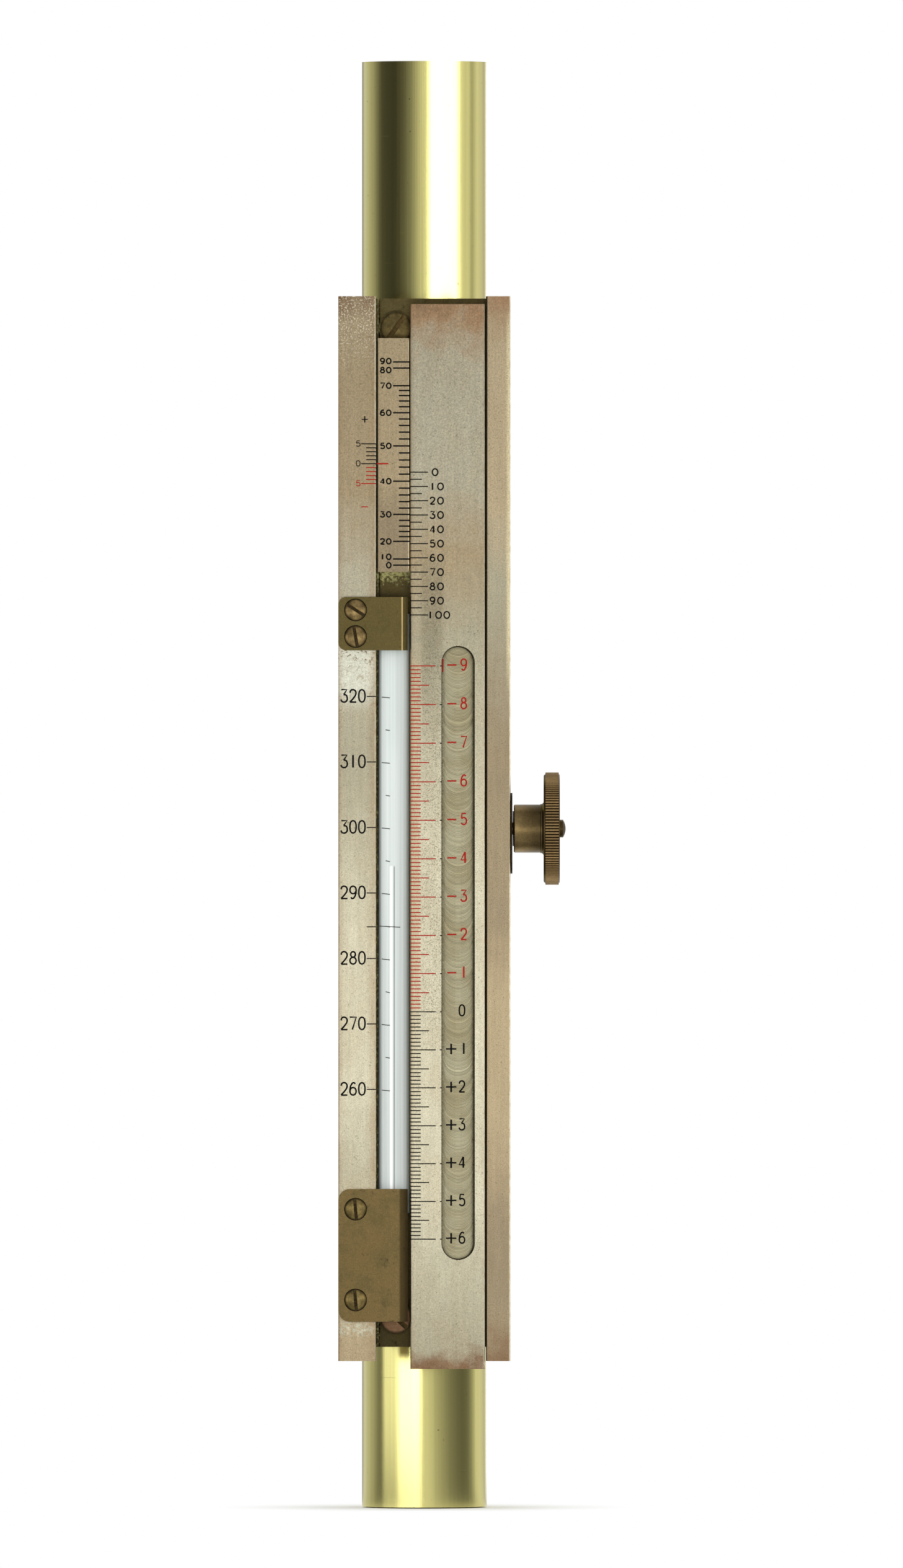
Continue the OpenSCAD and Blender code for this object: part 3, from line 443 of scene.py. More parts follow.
def floorCrust(colour, parts, own):
    # pale green crust below the strip and along the rib
    below = within(parts[2], *wearAndPaintedLight["floorCrust"])
    rib = fall(parts[0], *wearAndPaintedLight["rib"])
    where = calc("MAXIMUM", times(below, 0.9), times(rib, 0.75))
    crust = rise(times(where, noise(own, 1.7, 5.0, 0.7)), 0.36, 0.5)
    front = fall(parts[1], *wearAndPaintedLight["floorFront"])
    colour = toned(colour, rise(parts[2], *wearAndPaintedLight["floorFoot"]), 0.62, 1.0)
    colour = toned(colour, rise(parts[2], *wearAndPaintedLight["floorTop"]), 1.0, 1.35)
    return stained(colour, (172, 168, 112), crust, front)


def guardFold(colour, parts, own):
    # painted shade along the lower bracket's fold
    return stained(colour, (66, 54, 32), rise(parts[0], *wearAndPaintedLight["guardFold"]), 0.8)


def clipFold(colour, parts, own):
    # a painted highlight on the upper bracket where its fold begins, and painted shade over the fold
    colour = stained(colour, (70, 58, 34), rise(parts[0], *wearAndPaintedLight["clipFold"]), 0.3)
    return stained(colour, (226, 196, 136), beside(parts[0], *wearAndPaintedLight["clipHighlightLine"]), 0.9)


def tubeBrass(shader, place, parts):
    # polished and lacquered, with lines drawn along it, a few scratches round it and some pits
    streaks = brushed(place, 5.0, 60.0)
    broad = noise(scaled(place, 1.3, 1.3, 0.012), 1.0, 3.0, 0.55)
    scratch = blots(scaled(place, 0.06, 0.06, 3.0, (5, 5, 2)), 1.0, 2.0, 0.5, 0.74, 0.78, 0.6)
    pits = blots(moved(place, 9, 4, 1), 1.4, 2.0, 0.5, 0.73, 0.78)
    colour = toned(tone(238, 229, 148), streaks, 0.84, 1.12)
    colour = stained(colour, (120, 100, 50), pits, 0.7)
    height = plus(streaks, plus(times(scratch, -0.5), times(broad, 0.6)))
    finishShader(shader, colour, spread(broad, 0.15, 0.25), height, 0.22, 0.06, Metallic=1.0,
                 Coat_Weight=0.25, Coat_Roughness=0.12)


def turnedScrew(shader, place, parts, base, light, rim=2.15, fine=7.0):
    # the head's rings run round the middle of the piece's own turning map
    turning = put("Group", {"Vector": put("UVMap", tree=shader.id_data, uv_map="turning").outputs[0], "Fine": fine},
                  node_tree=turnedRings).outputs
    colour = between(blots(place, 0.8, 3.0, 0.6, 0.35, 0.65), base, light)
    colour = toned(colour, turning["Rings"], 0.62, 1.3)
    # painted shade round the head's rounded rim
    colour = toned(colour, rise(turning["Radius"], rim - 0.42, rim - 0.05), 1.0, 0.4)
    colour = toned(colour, mottled(place, 0.4)["Grain"], 0.82, 1.1)
    finishShader(shader, colour, 0.34, turning["Rings"], 0.5, 0.04, Metallic=1.0)


# The knob's axis, what lies how far from it, and what lies where along it
knob = {"y": -19.4, "z": 137.95, "grooves": (10.9, 11.0, 11.16, 11.3), "crests": (11.12, 11.36), "hub": (18.4, 22.6),
        "milling": (21.0, 23.6, 24.0, 24.3)}


def turnedAcross(shader, place, parts, base, light, dark, fine=6.0, roughness=0.36):
    # lathe lines round the knob's axis; painted shade with dirt between its ridges, and a painted highlight with wear
    # on their crests
    lines = noise(put("CombineXYZ", {0: times(parts[0], fine)}).outputs[0], 1.0, 3.0, 0.6)
    grain = mottled(place, 0.35)["Grain"]
    reach = calc("SQRT", plus(calc("POWER", minus(parts[1], knob["y"]), 2.0),
                              calc("POWER", minus(parts[2], knob["z"]), 2.0)))
    colour = between(blots(place, 0.3, 4.0, 0.6, 0.35, 0.65), base, light)
    colour = stained(colour, dark, within(reach, *knob["grooves"]), 0.85)
    colour = stained(colour, (196, 162, 112), rise(reach, *knob["crests"]), 0.5)
    # painted light along the axis: the hub is brighter on its left, and painted shade lies next to the milled rim
    colour = toned(colour, fall(parts[0], *knob["hub"]), 1.0, 1.8)
    colour = toned(colour, within(parts[0], *knob["milling"]), 1.0, 0.78)
    colour = toned(toned(colour, lines, 0.82, 1.16), grain, 0.85, 1.1)
    height = plus(lines, times(grain, 0.3))
    finishShader(shader, colour, roughness, height, 0.3, 0.03, Metallic=1.0)


def plainMetal(shader, place, parts, base, light, roughness):
    grain = mottled(place, 0.3)["Grain"]
    colour = between(blots(place, 1.2, 4.0, 0.6, 0.3, 0.7), base, light)
    finishShader(shader, toned(colour, grain, 0.88, 1.1), roughness, grain, 0.2, 0.02, Metallic=1.0)


def clearGlass(shader, place, parts):
    waves = noise(scaled(place, 1.2, 1.2, 0.05), 1.0, 2.0)
    finishShader(shader, tone(236, 242, 240), 0.04, waves, 0.1, 0.03, Transmission_Weight=1.0, IOR=1.5)


# Painted in the stem's colour, as the lens would show them: its shaded side and foot, and the thread of mercury up to
# its top with a highlight beside it
through = {"shade": (-6.0, -5.5, -4.2, -3.4), "foot": (60.0, 170.0), "top": (130.0, 130.6),
           "bright": (-6.72, 0.2, 0.34), "dark": (-6.1, 0.08, 0.2)}


def stemGlass(shader, place, parts):
    # enamel-backed, with drawn lines. Painted shade darkens one side and the foot, a painted highlight and a grey line
    # stand for the thread, as wide as the lens shows it, and the normal leans to the front, as the flat white back
    # would look.
    drawn = noise(scaled(place, 2.6, 2.6, 0.01), 1.0, 3.0, 0.6)
    colour = between(rise(drawn, 0.35, 0.65), (211, 219, 215), (221, 228, 224))
    colour = toned(colour, within(parts[0], *through["shade"]), 1.0, 0.88)
    colour = toned(colour, rise(parts[2], *through["foot"]), 0.86, 1.0)
    filled = fall(parts[2], *through["top"])
    shine, line = beside(parts[0], *through["bright"]), beside(parts[0], *through["dark"])
    colour = stained(colour, (255, 255, 255), shine, filled)
    colour = stained(colour, (120, 126, 122), line, filled, 0.75)
    towards = mixTones(0.85, put("NewGeometry", tree=shader.id_data).outputs["Normal"], (0.0, -1.0, 0.0, 1.0))
    finishShader(shader, colour, 0.05, drawn, 0.15, 0.03, towards, Transmission_Weight=0.05, IOR=1.48)


def enamel(shader, place, parts):
    cloud = blots(scaled(place, 1, 1, 0.2), 0.5, 3.0, 0.5, 0.3, 0.7)
    colour = between(cloud, (226, 232, 230), (238, 242, 240))
    finishShader(shader, colour, 0.25, noise(place, 2.0, 2.0), 0.1, 0.02)


def mercury(shader, place, parts):
    dim = blots(scaled(place, 3, 3, 0.4), 1.0, 3.0, 0.5, 0.3, 0.7)
    colour = between(dim, (186, 190, 192), (214, 217, 220))
    finishShader(shader, colour, 0.12, dim, 0.1, 0.02, Metallic=1.0)


def cork(shader, place, parts):
    cells = put("TexVoronoi", {"Vector": place, "Scale": 2.4, "Randomness": 1.0}).outputs["Distance"]
    colour = between(blots(place, 0.9, 4.0, 0.65, 0.35, 0.65), (150, 108, 66), (186, 142, 92))
    colour = toned(colour, rise(cells, 0.1, 0.6), 0.7, 1.1)
    finishShader(shader, colour, 0.85, cells, 0.6, 0.1)


finishes = {
    "leftBar": made("silveredLeftBar", silveredBrass, 3.0, "leftBar",
                    [(bars["leftIn"], 2.4, 0.6), (bars["leftOut"], 1.4, 0.5)], freckles=0.85, band=pitchedPatch),
    "rightBar": made("silveredRightBar", silveredBrass, 17.0, "rightBar", [(bars["rightIn"], 0.8, 0.4)],
                     rubbed=(bars["rightOut"], 1.1, 162.0, 244.0)),
    "slide": made("silveredSlide", silveredBrass, 29.0, "slide",
                  [(correction["left"], 1.2, 0.4), (correction["right"], 0.7, 0.3)], band=slideBand),
    "strip": made("silveredStrip", silveredBrass, 43.0, "strip", [(latitude["left"], 1.0, 0.5)]),
    "edge": made("wornEdge", wornEdge), "recess": made("recessFloor", recessFloor),
    # painted shade with dirt for gaps, walls, seats and the friction washer; painted shade for the screws' slots
    "gapShadeAndDirt": made("paintedGapShade", grimeIn, (26, 23, 15), (44, 38, 25)),
    "slotFloor": made("paintedSlotShade", grimeIn, (50, 40, 23), (84, 68, 40)),
    "paintedLargeSlotShade": made("paintedLargeSlotShade", grimeIn, (98, 80, 46), (128, 106, 64)),
    "black": made("blackFill", markFill, (13, 15, 12), (48, 45, 34), 0.16),
    "red": made("redFill", markFill, (168, 38, 27), (160, 90, 66), 0.26),
    "floor": made("agedBasePlate", agedBrass, (86, 75, 45), (104, 93, 60), (46, 40, 24), 5.0, 0.3, 0.22, floorCrust),
    "upperBracket": made("agedUpperBracket", agedBrass, (108, 95, 57), (120, 107, 66), (84, 71, 42),
                         11.0, 0.25, 0.3, clipFold),
    "lowerBracket": made("agedLowerBracket", agedBrass, (112, 97, 61), (146, 124, 80), (74, 65, 48),
                         23.0, 0.25, 0.26, guardFold),
    "saddle": made("agedSaddle", agedBrass, (120, 104, 60), (146, 126, 76), (76, 64, 36), 37.0, 0.3, 0.2),
    "plate": made("agedBearing", agedBrass, (54, 46, 30), (70, 59, 38), (36, 30, 19), 41.0, 0.3, 0.3),
    "tube": made("tubeBrass", tubeBrass),
    "hub": made("knobBrass", turnedAcross, (108, 91, 59), (126, 107, 71), (56, 44, 26)),
    "dome": made("knobScrewBrass", turnedAcross, (84, 70, 42), (104, 86, 52), (46, 37, 22), 5.0, 0.3),
    "screw": made("screwBrass", plainMetal, (150, 128, 76), (186, 160, 98), 0.36),
    "clipScrew": made("bracketScrewUpper", turnedScrew, (142, 121, 78), (176, 149, 98)),
    "guardScrew": made("bracketScrewLower", turnedScrew, (134, 118, 74), (170, 146, 90)),
    "bigUpper": made("largeScrewUpper", turnedScrew, (108, 94, 58), (128, 112, 70), 3.1, 9.0),
    "bigLower": made("largeScrewLower", turnedScrew, (132, 102, 76), (148, 114, 82), 3.1),
    "gear": made("gearBrass", plainMetal, (196, 168, 98), (214, 188, 118), 0.34),
    "steel": made("turnedSteel", plainMetal, (168, 166, 160), (190, 188, 182), 0.28),
    "glass": made("clearGlass", clearGlass), "stem": made("stemGlass", stemGlass),
    "enamel": made("enamel", enamel), "mercury": made("mercury", mercury), "cork": made("cork", cork),
}
print("finishes made:", len(finishes))


# Pieces made in this scene

def addPiece(name, mesh, body, stands=()):
    piece = newObject(name, mesh)
    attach(piece, body)
    if stands:
        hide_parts(*stands)
    return piece


def mergedCopy(node):
    shape = bmesh.new()
    shape.from_mesh(nodes[node].data)
    bmesh.ops.remove_doubles(shape, verts=shape.verts, dist=1e-7)
    return shape


def meshFrom(shape, name, materials, sharp=32):
    mesh = bpy.data.meshes.new(name)
    shape.to_mesh(mesh)
    shape.free()
    for material in materials:
        mesh.materials.append(material)
    return smoothRounds(mesh, sharp)


def smoothRounds(mesh, sharp=32):
    if "custom_normal" in mesh.attributes:
        mesh.attributes.remove(mesh.attributes["custom_normal"])
    mesh.shade_smooth()
    mesh.set_sharp_from_angle(angle=math.radians(sharp))
    return mesh


# Engraved marks. A figure is drawn in a box one unit wide and high: "line" is straight, "sweep" smooth, "ring" closed.
figures = {
    "0": [("ring", (0.5, 1), (0.02, 0.5), (0.5, 0), (0.98, 0.5))],
    "1": [("line", (0.5, 0), (0.5, 1))],
    "2": [("sweep", (0.03, 0.74), (0.15, 0.93), (0.5, 1), (0.88, 0.88), (0.93, 0.64), (0.66, 0.38), (0.02, 0)),
          ("line", (0.02, 0), (1, 0))],
    "3": [("line", (0.06, 1), (0.92, 1), (0.42, 0.6)),
          ("sweep", (0.42, 0.6), (0.78, 0.56), (0.97, 0.32), (0.84, 0.08), (0.48, 0), (0.13, 0.07), (0, 0.22))],
    "4": [("line", (0.74, 0), (0.74, 0.96)), ("line", (0.74, 1), (0, 0.27), (1, 0.27))],
    "5": [("line", (0.9, 1), (0.2, 1), (0.1, 0.54)),
          ("sweep", (0.1, 0.54), (0.48, 0.64), (0.88, 0.52), (0.98, 0.3), (0.84, 0.08), (0.46, 0), (0.02, 0.12))],
    "6": [("sweep", (0.86, 0.9), (0.58, 1), (0.24, 0.84), (0.05, 0.52), (0.02, 0.3)),
          ("ring", (0.5, 0.61), (0.02, 0.3), (0.5, 0), (0.98, 0.3))],
    "7": [("line", (0, 1), (1, 1), (0.38, 0))],
    "8": [("ring", (0.5, 1), (0.14, 0.78), (0.5, 0.55), (0.86, 0.78)),
          ("ring", (0.5, 0.55), (0.02, 0.27), (0.5, 0), (0.98, 0.27))],
    "9": [("sweep", (0.14, 0.1), (0.42, 0), (0.76, 0.16), (0.95, 0.48), (0.98, 0.7)),
          ("ring", (0.5, 1), (0.02, 0.7), (0.5, 0.39), (0.98, 0.7))],
    "+": [("line", (0, 0.5), (1, 0.5)), ("line", (0.5, 0), (0.5, 1))],
    "-": [("line", (0, 0.5), (1, 0.5))],
}


def newMarks(stroke, fill, face):
    # marks of one stroke, fill and face, in two sets, so that strokes that meet are cut one after the other
    curves = []
    for part in "AB":
        curve = bpy.data.curves.new("marks" + part, "CURVE")
        curve.dimensions = "3D"
        curve.bevel_depth = stroke / 2 * mm
        curve.bevel_resolution = 1
        curve.resolution_u = 4
        curve.use_fill_caps = True
        curves.append(curve)
    return {"curves": curves, "stroke": stroke, "fill": fill, "face": face}


def addStroke(marks, kind, points, part=0):
    # points are (x, y, z) in millimetres
    curve = marks["curves"][part]
    if kind == "line":
        spline = curve.splines.new("POLY")
        spline.points.add(len(points) - 1)
        for target, point in zip(spline.points, points):
            target.co = (*[value * mm for value in point], 1)
        return
    spline = curve.splines.new("BEZIER")
    spline.bezier_points.add(len(points) - 1)
    for target, point in zip(spline.bezier_points, points):
        target.co = [value * mm for value in point]
        target.handle_left_type = target.handle_right_type = "AUTO"
    spline.use_cyclic_u = kind == "ring"


def addLine(marks, z, *across):
    # a straight mark on the marks' face, through the places across
    addStroke(marks, "line", [(x, marks["face"], z) for x in across])


def addEdgeLine(marks, x0, x1, z, toRight=True):
    # a division that runs over the chamfer at one end
    edge, face, out = bars["edge"], marks["face"], 0.08
    if toRight:
        points = [(x0, face, z), (x1 - edge, face, z), (x1 + out, face + edge + out, z)]
    else:
        points = [(x0 - out, face + edge + out, z), (x0 + edge, face, z), (x1, face, z)]
    addStroke(marks, "line", points)


def addFigure(marks, figure, x, z, width, height):
    # x and z are the middle of the figure, and width and height its size over the strokes
    w, h = width - marks["stroke"], height - marks["stroke"]
    for part, (kind, *points) in enumerate(figures[figure]):
        addStroke(marks, kind, [(x + (px - 0.5) * w, marks["face"], z + (pz - 0.5) * h) for px, pz in points], part)


def marksMesh(curve, marks, flattened=0.6):
    # the strokes as closed tubes, flattened towards the face that they are cut in
    holder = newObject(curve.name, curve)
    mesh = evaluatedMesh(holder)
    bpy.data.objects.remove(holder)
    shape = bmesh.new()
    shape.from_mesh(mesh)
    bmesh.ops.remove_doubles(shape, verts=shape.verts, dist=1e-7)
    bmesh.ops.recalc_face_normals(shape, faces=shape.faces)
    if marks["face"] is not None:
        face = marks["face"] * mm
        for vert in shape.verts:
            vert.co.y = face + (vert.co.y - face) * flattened
    shape.to_mesh(mesh)
    shape.free()
    mesh.materials.clear()
    mesh.materials.append(finishes[marks["fill"]])
    return mesh


def engrave(mesh, cutters):
    # cuts the marks out of the mesh, and leaves their fill on the new faces
    target = newObject("engraving", mesh)
    tools = [newObject("cutter", cutter) for cutter in cutters]
    for tool in tools:
        change = target.modifiers.new("cut", "BOOLEAN")
        change.operation, change.object, change.solver = "DIFFERENCE", tool, "MANIFOLD"
        change.material_mode = "TRANSFER"
    result = evaluatedMesh(target)
    result.name = mesh.name
    for thing in [target, *tools]:
        bpy.data.objects.remove(thing)
    return smoothRounds(result)


# Rounding of a chamfer's borders and of the ends, in millimetres, and the finishes' places in a dressed piece
rounding = {"border": 0.075, "end": 0.14, "edge": 1, "gapShadeAndDirt": 2, "recess": 3}


def roundOff(shape, sides, offset, finish):
    bmesh.ops.bevel(shape, geom=[side for side in sides if side.is_valid], offset=offset * mm, offset_type="OFFSET",
                    affect="EDGES", segments=2, profile=0.5, material=finish)


def dressEdges(shape, bright, gaps, shadedWalls):
    # chamfers across at bright are rubbed; those at gaps, and the walls across at the third list, get painted shade.
    # Borders are rounded.
    def close(point, places, spare=0.3):
        return any(abs(point.x - place * mm) < spare * mm for place in places)

    def finishFor(point):
        return rounding["edge"] if close(point, bright) else rounding["gapShadeAndDirt"] if close(point, gaps) else 0

    def corner(side, angle):
        return len(side.link_faces) == 2 and side.calc_face_angle() > angle

    slanted = [face for face in shape.faces if face.normal.y < -0.6 and abs(face.normal.x) > 0.5]
    for face in slanted:
        face.material_index = finishFor(face.calc_center_median())
    # walls beside gaps get painted shade
    for face in shape.faces:
        if abs(face.normal.x) > 0.95 and close(face.calc_center_median(), shadedWalls, 0.02):
            face.material_index = rounding["gapShadeAndDirt"]
    # in the mesh's order, so that each run gives the same faces
    borders = [side for side in shape.edges if abs(side.verts[0].co.z - side.verts[1].co.z) > 20 * mm
               and corner(side, 0.5) and any(face in slanted for face in side.link_faces)]
    ends = [side for side in shape.edges if corner(side, 1.4)
            and min(face.normal.y for face in side.link_faces) < -0.99
            and max(abs(face.normal.z) for face in side.link_faces) > 0.99 and side.verts[0].co.y < -26.9 * mm]
    for finish in (0, rounding["edge"], rounding["gapShadeAndDirt"]):
        some = [side for side in borders if side.is_valid and finishFor(side.verts[0].co) == finish]
        roundOff(shape, some, rounding["border"], finish)
    roundOff(shape, ends, rounding["end"], rounding["edge"])


def silveredPiece(node, name, body, finish, bright, gaps, shadedWalls, marks=(), paint=None):
    # a bar, the strip or the slide, with its edges dressed and its marks cut in
    shape = mergedCopy(node)
    dressEdges(shape, bright, gaps, shadedWalls)
    keys = [finish, "edge", "gapShadeAndDirt"]
    if paint:
        keys.append(paint(shape))
    mesh = meshFrom(shape, name, [finishes[key] for key in keys])
    if marks:
        mesh = engrave(mesh, [marksMesh(curve, some) for some in marks for curve in some["curves"] if curve.splines])
    piece = addPiece(name, mesh, body, [node])
    # flat faces stay flat where they meet a rounded edge
    change = piece.modifiers.new("steady", "WEIGHTED_NORMAL")
    change.mode, change.keep_sharp, change.weight = "FACE_AREA", True, 100
    print(name, len(piece.data.polygons), "faces", [m.name for m in piece.data.materials])


temperature = {"top": 164.75, "step": 13.28, "values": range(320, 250, -10), "centres": (-16.25, -14.46, -12.66),
               "width": 1.7, "height": 2.9, "lift": 0.12, "stroke": 0.38, "tick": -11.69, "setting": 118.05}
indexScale = {"zero": 211.95, "half": 4.02, "long": -12.82, "short": -11.82, "stroke": 0.25, "figureStroke": 0.21,
              "plus": (-12.08, 220.93, 1.55, 1.55), "minus": (-12.08, 203.19, 1.6, 1.6), "figure": (-13.42, 1.04, 1.32)}


def engraveLeftBar():
    t, s, face, right = temperature, indexScale, bars["face"], bars["leftIn"]
    large = newMarks(t["stroke"], "black", face)
    black, red = newMarks(s["stroke"], "black", face), newMarks(s["stroke"], "red", face)
    smallBlack, smallRed = newMarks(s["figureStroke"], "black", face), newMarks(s["figureStroke"], "red", face)
    for k, value in enumerate(t["values"]):
        z = t["top"] - k * t["step"]
        for x, figure in zip(t["centres"], str(value)):
            addFigure(large, figure, x, z + t["lift"], t["width"], t["height"])
        addEdgeLine(black, t["tick"], right, z)
    addEdgeLine(black, t["tick"], right, t["setting"])
    x, width, height = s["figure"]
    for k in range(-5, 6):
        z = s["zero"] + k * s["half"] / 5
        addEdgeLine(red if k < 0 else black, s["short"] if k % 5 else s["long"], right, z)
        if k % 5 == 0:
            small = smallRed if k < 0 else smallBlack
            addFigure(small, "5" if k else "0", x, z + 0.06, width, height)
            if k:
                # the point before the 5
                addLine(small, z - 0.22, x - 0.85, x - 0.78)
    addFigure(black, "+", *s["plus"])
    addFigure(red, "-", *s["minus"])
    silveredPiece("left_bar", "scaleBarLeft", "frame", "leftBar", (right,), (), (right,),
                  (large, black, red, smallBlack, smallRed))


def latitudeHeight(degrees):
    return latitude["middle"] - latitude["swing"] * math.cos(math.radians(2 * degrees))


def engraveStrip():
    s = latitude
    black, red = newMarks(s["stroke"], "black", s["face"]), newMarks(s["stroke"], "red", s["face"])
    for degrees in range(0, 100, 10):
        z = latitudeHeight(degrees)
        addEdgeLine(black, s["long"], s["right"], z)
        # figures that would touch their neighbours stand a little off their line
        lift = {90: 0.18, 80: -0.4, 10: 0.45}.get(degrees, 0.0)
        text = str(degrees)
        for x, figure in zip(s["centres"][2 - len(text):], text):
            addFigure(black, figure, x, z + lift, s["zero"] if figure == "0" else s["width"], s["height"])
    for degrees in range(22, 70, 2):
        if degrees % 10:
            addEdgeLine(black, s["short"], s["right"], latitudeHeight(degrees))
    addEdgeLine(red, s["left"], s["index"], indexScale["zero"], False)
    silveredPiece("latitude_strip", "latitudeStrip", "latitude_index", "strip", (s["right"],), (s["left"],),
                  (s["right"], s["left"]), (black, red))


# Heights on the slide's upper scale, with the middles of its figures for each number of them
heightScale = {"top": 210.22, "step": 2.895, "long": 0.75, "short": -0.5, "stroke": 0.33, "size": (1.27, 1.71),
               "zero": 1.5, "centres": {1: (2.17,), 2: (1.65, 3.27), 3: (1.2, 2.88, 4.54)}}


def correctionHeight(value):
    return correction["zero"] - correction["step"] * value + correction["bend"] * value * value


def paintRecess(shape):
    left, right = correction["recess"]
    for part in shape.faces:
        middle = part.calc_center_median() / mm
        inside = left - 0.01 < middle.x < right + 0.01 and 50 < middle.z < 176
        if inside and bars["face"] + 0.05 < middle.y < correction["floor"] + 0.01:
            part.material_index = rounding["recess"]
    return "recess"


def engraveSlide():
    s, h, face = correction, heightScale, bars["face"]
    black, red = newMarks(s["stroke"], "black", face), newMarks(s["stroke"], "red", face)
    deepBlack, deepRed = [newMarks(s["figureStroke"], fill, s["floor"]) for fill in ("black", "red")]
    small = newMarks(h["stroke"], "black", face)
    recess = s["recess"][0]
    for tenth in range(-90, 61):
        z = correctionHeight(tenth / 10)
        right = s["tenth"] if tenth % 5 else s["half"] if tenth % 10 else s["unit"]
        addEdgeLine(red if tenth < 0 else black, s["left"], right, z, False)
        if tenth % 10 == 0:
            addLine(black, z, recess - 0.32, recess + 0.1)
    for value in range(-9, 7):
        z = correctionHeight(value) + s["lift"]
        marks = deepRed if value < 0 else deepBlack
        addFigure(marks, str(abs(value)), 7.98 if value < 0 or value == 1 else 7.62, z, *s["figure"])
        if value < 0:
            addFigure(marks, "-", s["sign"] + 0.14, z - 0.1, s["minus"], s["minus"])
        elif value > 0:
            addFigure(marks, "+", s["sign"], z - 0.1, s["plus"], s["plus"])
    # a stray red line at the recess's upper left
    addStroke(deepRed, "line", [(recess + 0.2, s["floor"], 169.7), (recess + 0.24, s["floor"], 172.4)])
    for k in range(21):
        z = h["top"] - k * h["step"] / 2
        addEdgeLine(black, s["left"], h["short"] if k % 2 else h["long"], z, False)
        if k % 2 == 0:
            text = str(k * 5)
            for x, figure in zip(h["centres"][len(text)], text):
                addFigure(small, figure, x, z, h["zero"] if figure == "0" else h["size"][0], h["size"][1])
    silveredPiece("correction_slide", "slideWithScale", "slide", "slide", (s["right"],), (), (s["right"],),
                  (black, red, small, deepBlack, deepRed), paintRecess)


engraveLeftBar()
engraveStrip()
engraveSlide()
silveredPiece("right_bar", "plainBarRight", "frame", "rightBar", (bars["rightOut"],), (bars["rightIn"],),
              (bars["rightIn"],))

# The thermometer's stem, with a lens front squarer on its left, and the divisions etched on it
stem = {"x": -6.1, "y": -23.4, "radius": 3.25, "square": 4.0, "round": 2.6, "tens": (-8.62, -7.0),
        "fives": (-7.84, -7.0), "stroke": 0.16, "slope": 0.16, "setting": (-9.05, -4.9)}


def stemPower(across):
    return stem["square"] if across < 0 else stem["round"]


def onStem(marks, x0, x1, z, slope, steps=5):
    # a line on the curved glass, sloping as the stem is turned
    points = []
    for k in range(steps):
        x = x0 + (x1 - x0) * k / (steps - 1)
        power = stemPower(x - stem["x"])
        depth = stem["radius"] * (1 - abs((x - stem["x"]) / stem["radius"]) ** power) ** (1 / power)
        points.append((x, stem["y"] - depth, z + slope * (0.5 - k / (steps - 1))))
    addStroke(marks, "line", points)


def etchStem():
    marks = newMarks(stem["stroke"], "black", None)
    for k in range(13):
        z = temperature["top"] - k * temperature["step"] / 2 - 0.2
        onStem(marks, *(stem["fives"] if k % 2 else stem["tens"]), z, stem["slope"])
    onStem(marks, *stem["setting"], temperature["setting"] + 0.02, 0.2, 9)
    addPiece("stemDivisions", marksMesh(marks["curves"][0], marks), "frame")


def lensFront():
    shape = mergedCopy("thermometer_stem")
    for vert in shape.verts:
        across, deep = vert.co.x / mm - stem["x"], vert.co.y / mm - stem["y"]
        reach = math.hypot(across, deep)
        if deep < 0 and reach > 0.01:
            power = stemPower(across)
            swell = (abs(across / reach) ** power + abs(deep / reach) ** power) ** (-1 / power)
            vert.co.x, vert.co.y = (stem["x"] + across * swell) * mm, (stem["y"] + deep * swell) * mm
    mesh = meshFrom(shape, "thermometerStem", [finishes["stem"]], 40)
    addPiece("thermometerStem", mesh, "frame", ["thermometer_stem"])


etchStem()
lensFront()
print("stem shaped and etched")


# Nodes that get one skin with smooth round faces
for node, name, finish, body, slot in (
        ("barometer_tube", "brassTube", "tube", "frame", "tube_brass"),
        ("milled_knob", "milledKnob", "hub", "spindle", "knob_brass"),
        ("knob_screw", "domedKnobScrew", "dome", "spindle", "knob_brass"),
        ("thermometer_mercury", "thermometerMercury", "mercury", "frame", "mercury"),
        ("glass_tube", "glassTube", "glass", "frame", "glass"),
        ("mercury_column", "mercuryColumn", "mercury", "frame", "mercury")):
    addPiece(name, meshFrom(mergedCopy(node), name, [finishes[finish]], 28), body, [node])

# Slotted screws seen from the front: (x, z, turn of the slot, finish)
smallScrew = {"head": 4.3, "height": 1.2, "slot": 0.65, "seat": 4.6, "floor": "slotFloor"}
largeScrew = {"head": 6.2, "height": 1.8, "slot": 1.0, "seat": 7.1, "floor": "paintedLargeSlotShade"}
slotted = {
    "upper_bracket_screws": ("upperBracketScrews", smallScrew,
                             [(-13.95, 182.3, 33, "clipScrew"), (-13.95, 176.9, 80, "clipScrew")]),
    "lower_bracket_screws": ("lowerBracketScrews", smallScrew,
                             [(-13.95, 60.8, 85, "guardScrew"), (-13.95, 42.4, 85, "guardScrew")]),
    "base_screws": ("largeScrews", largeScrew, [(-5.745, 239.55, -54, "bigUpper"), (-5.745, 38.75, 43, "bigLower")]),
}


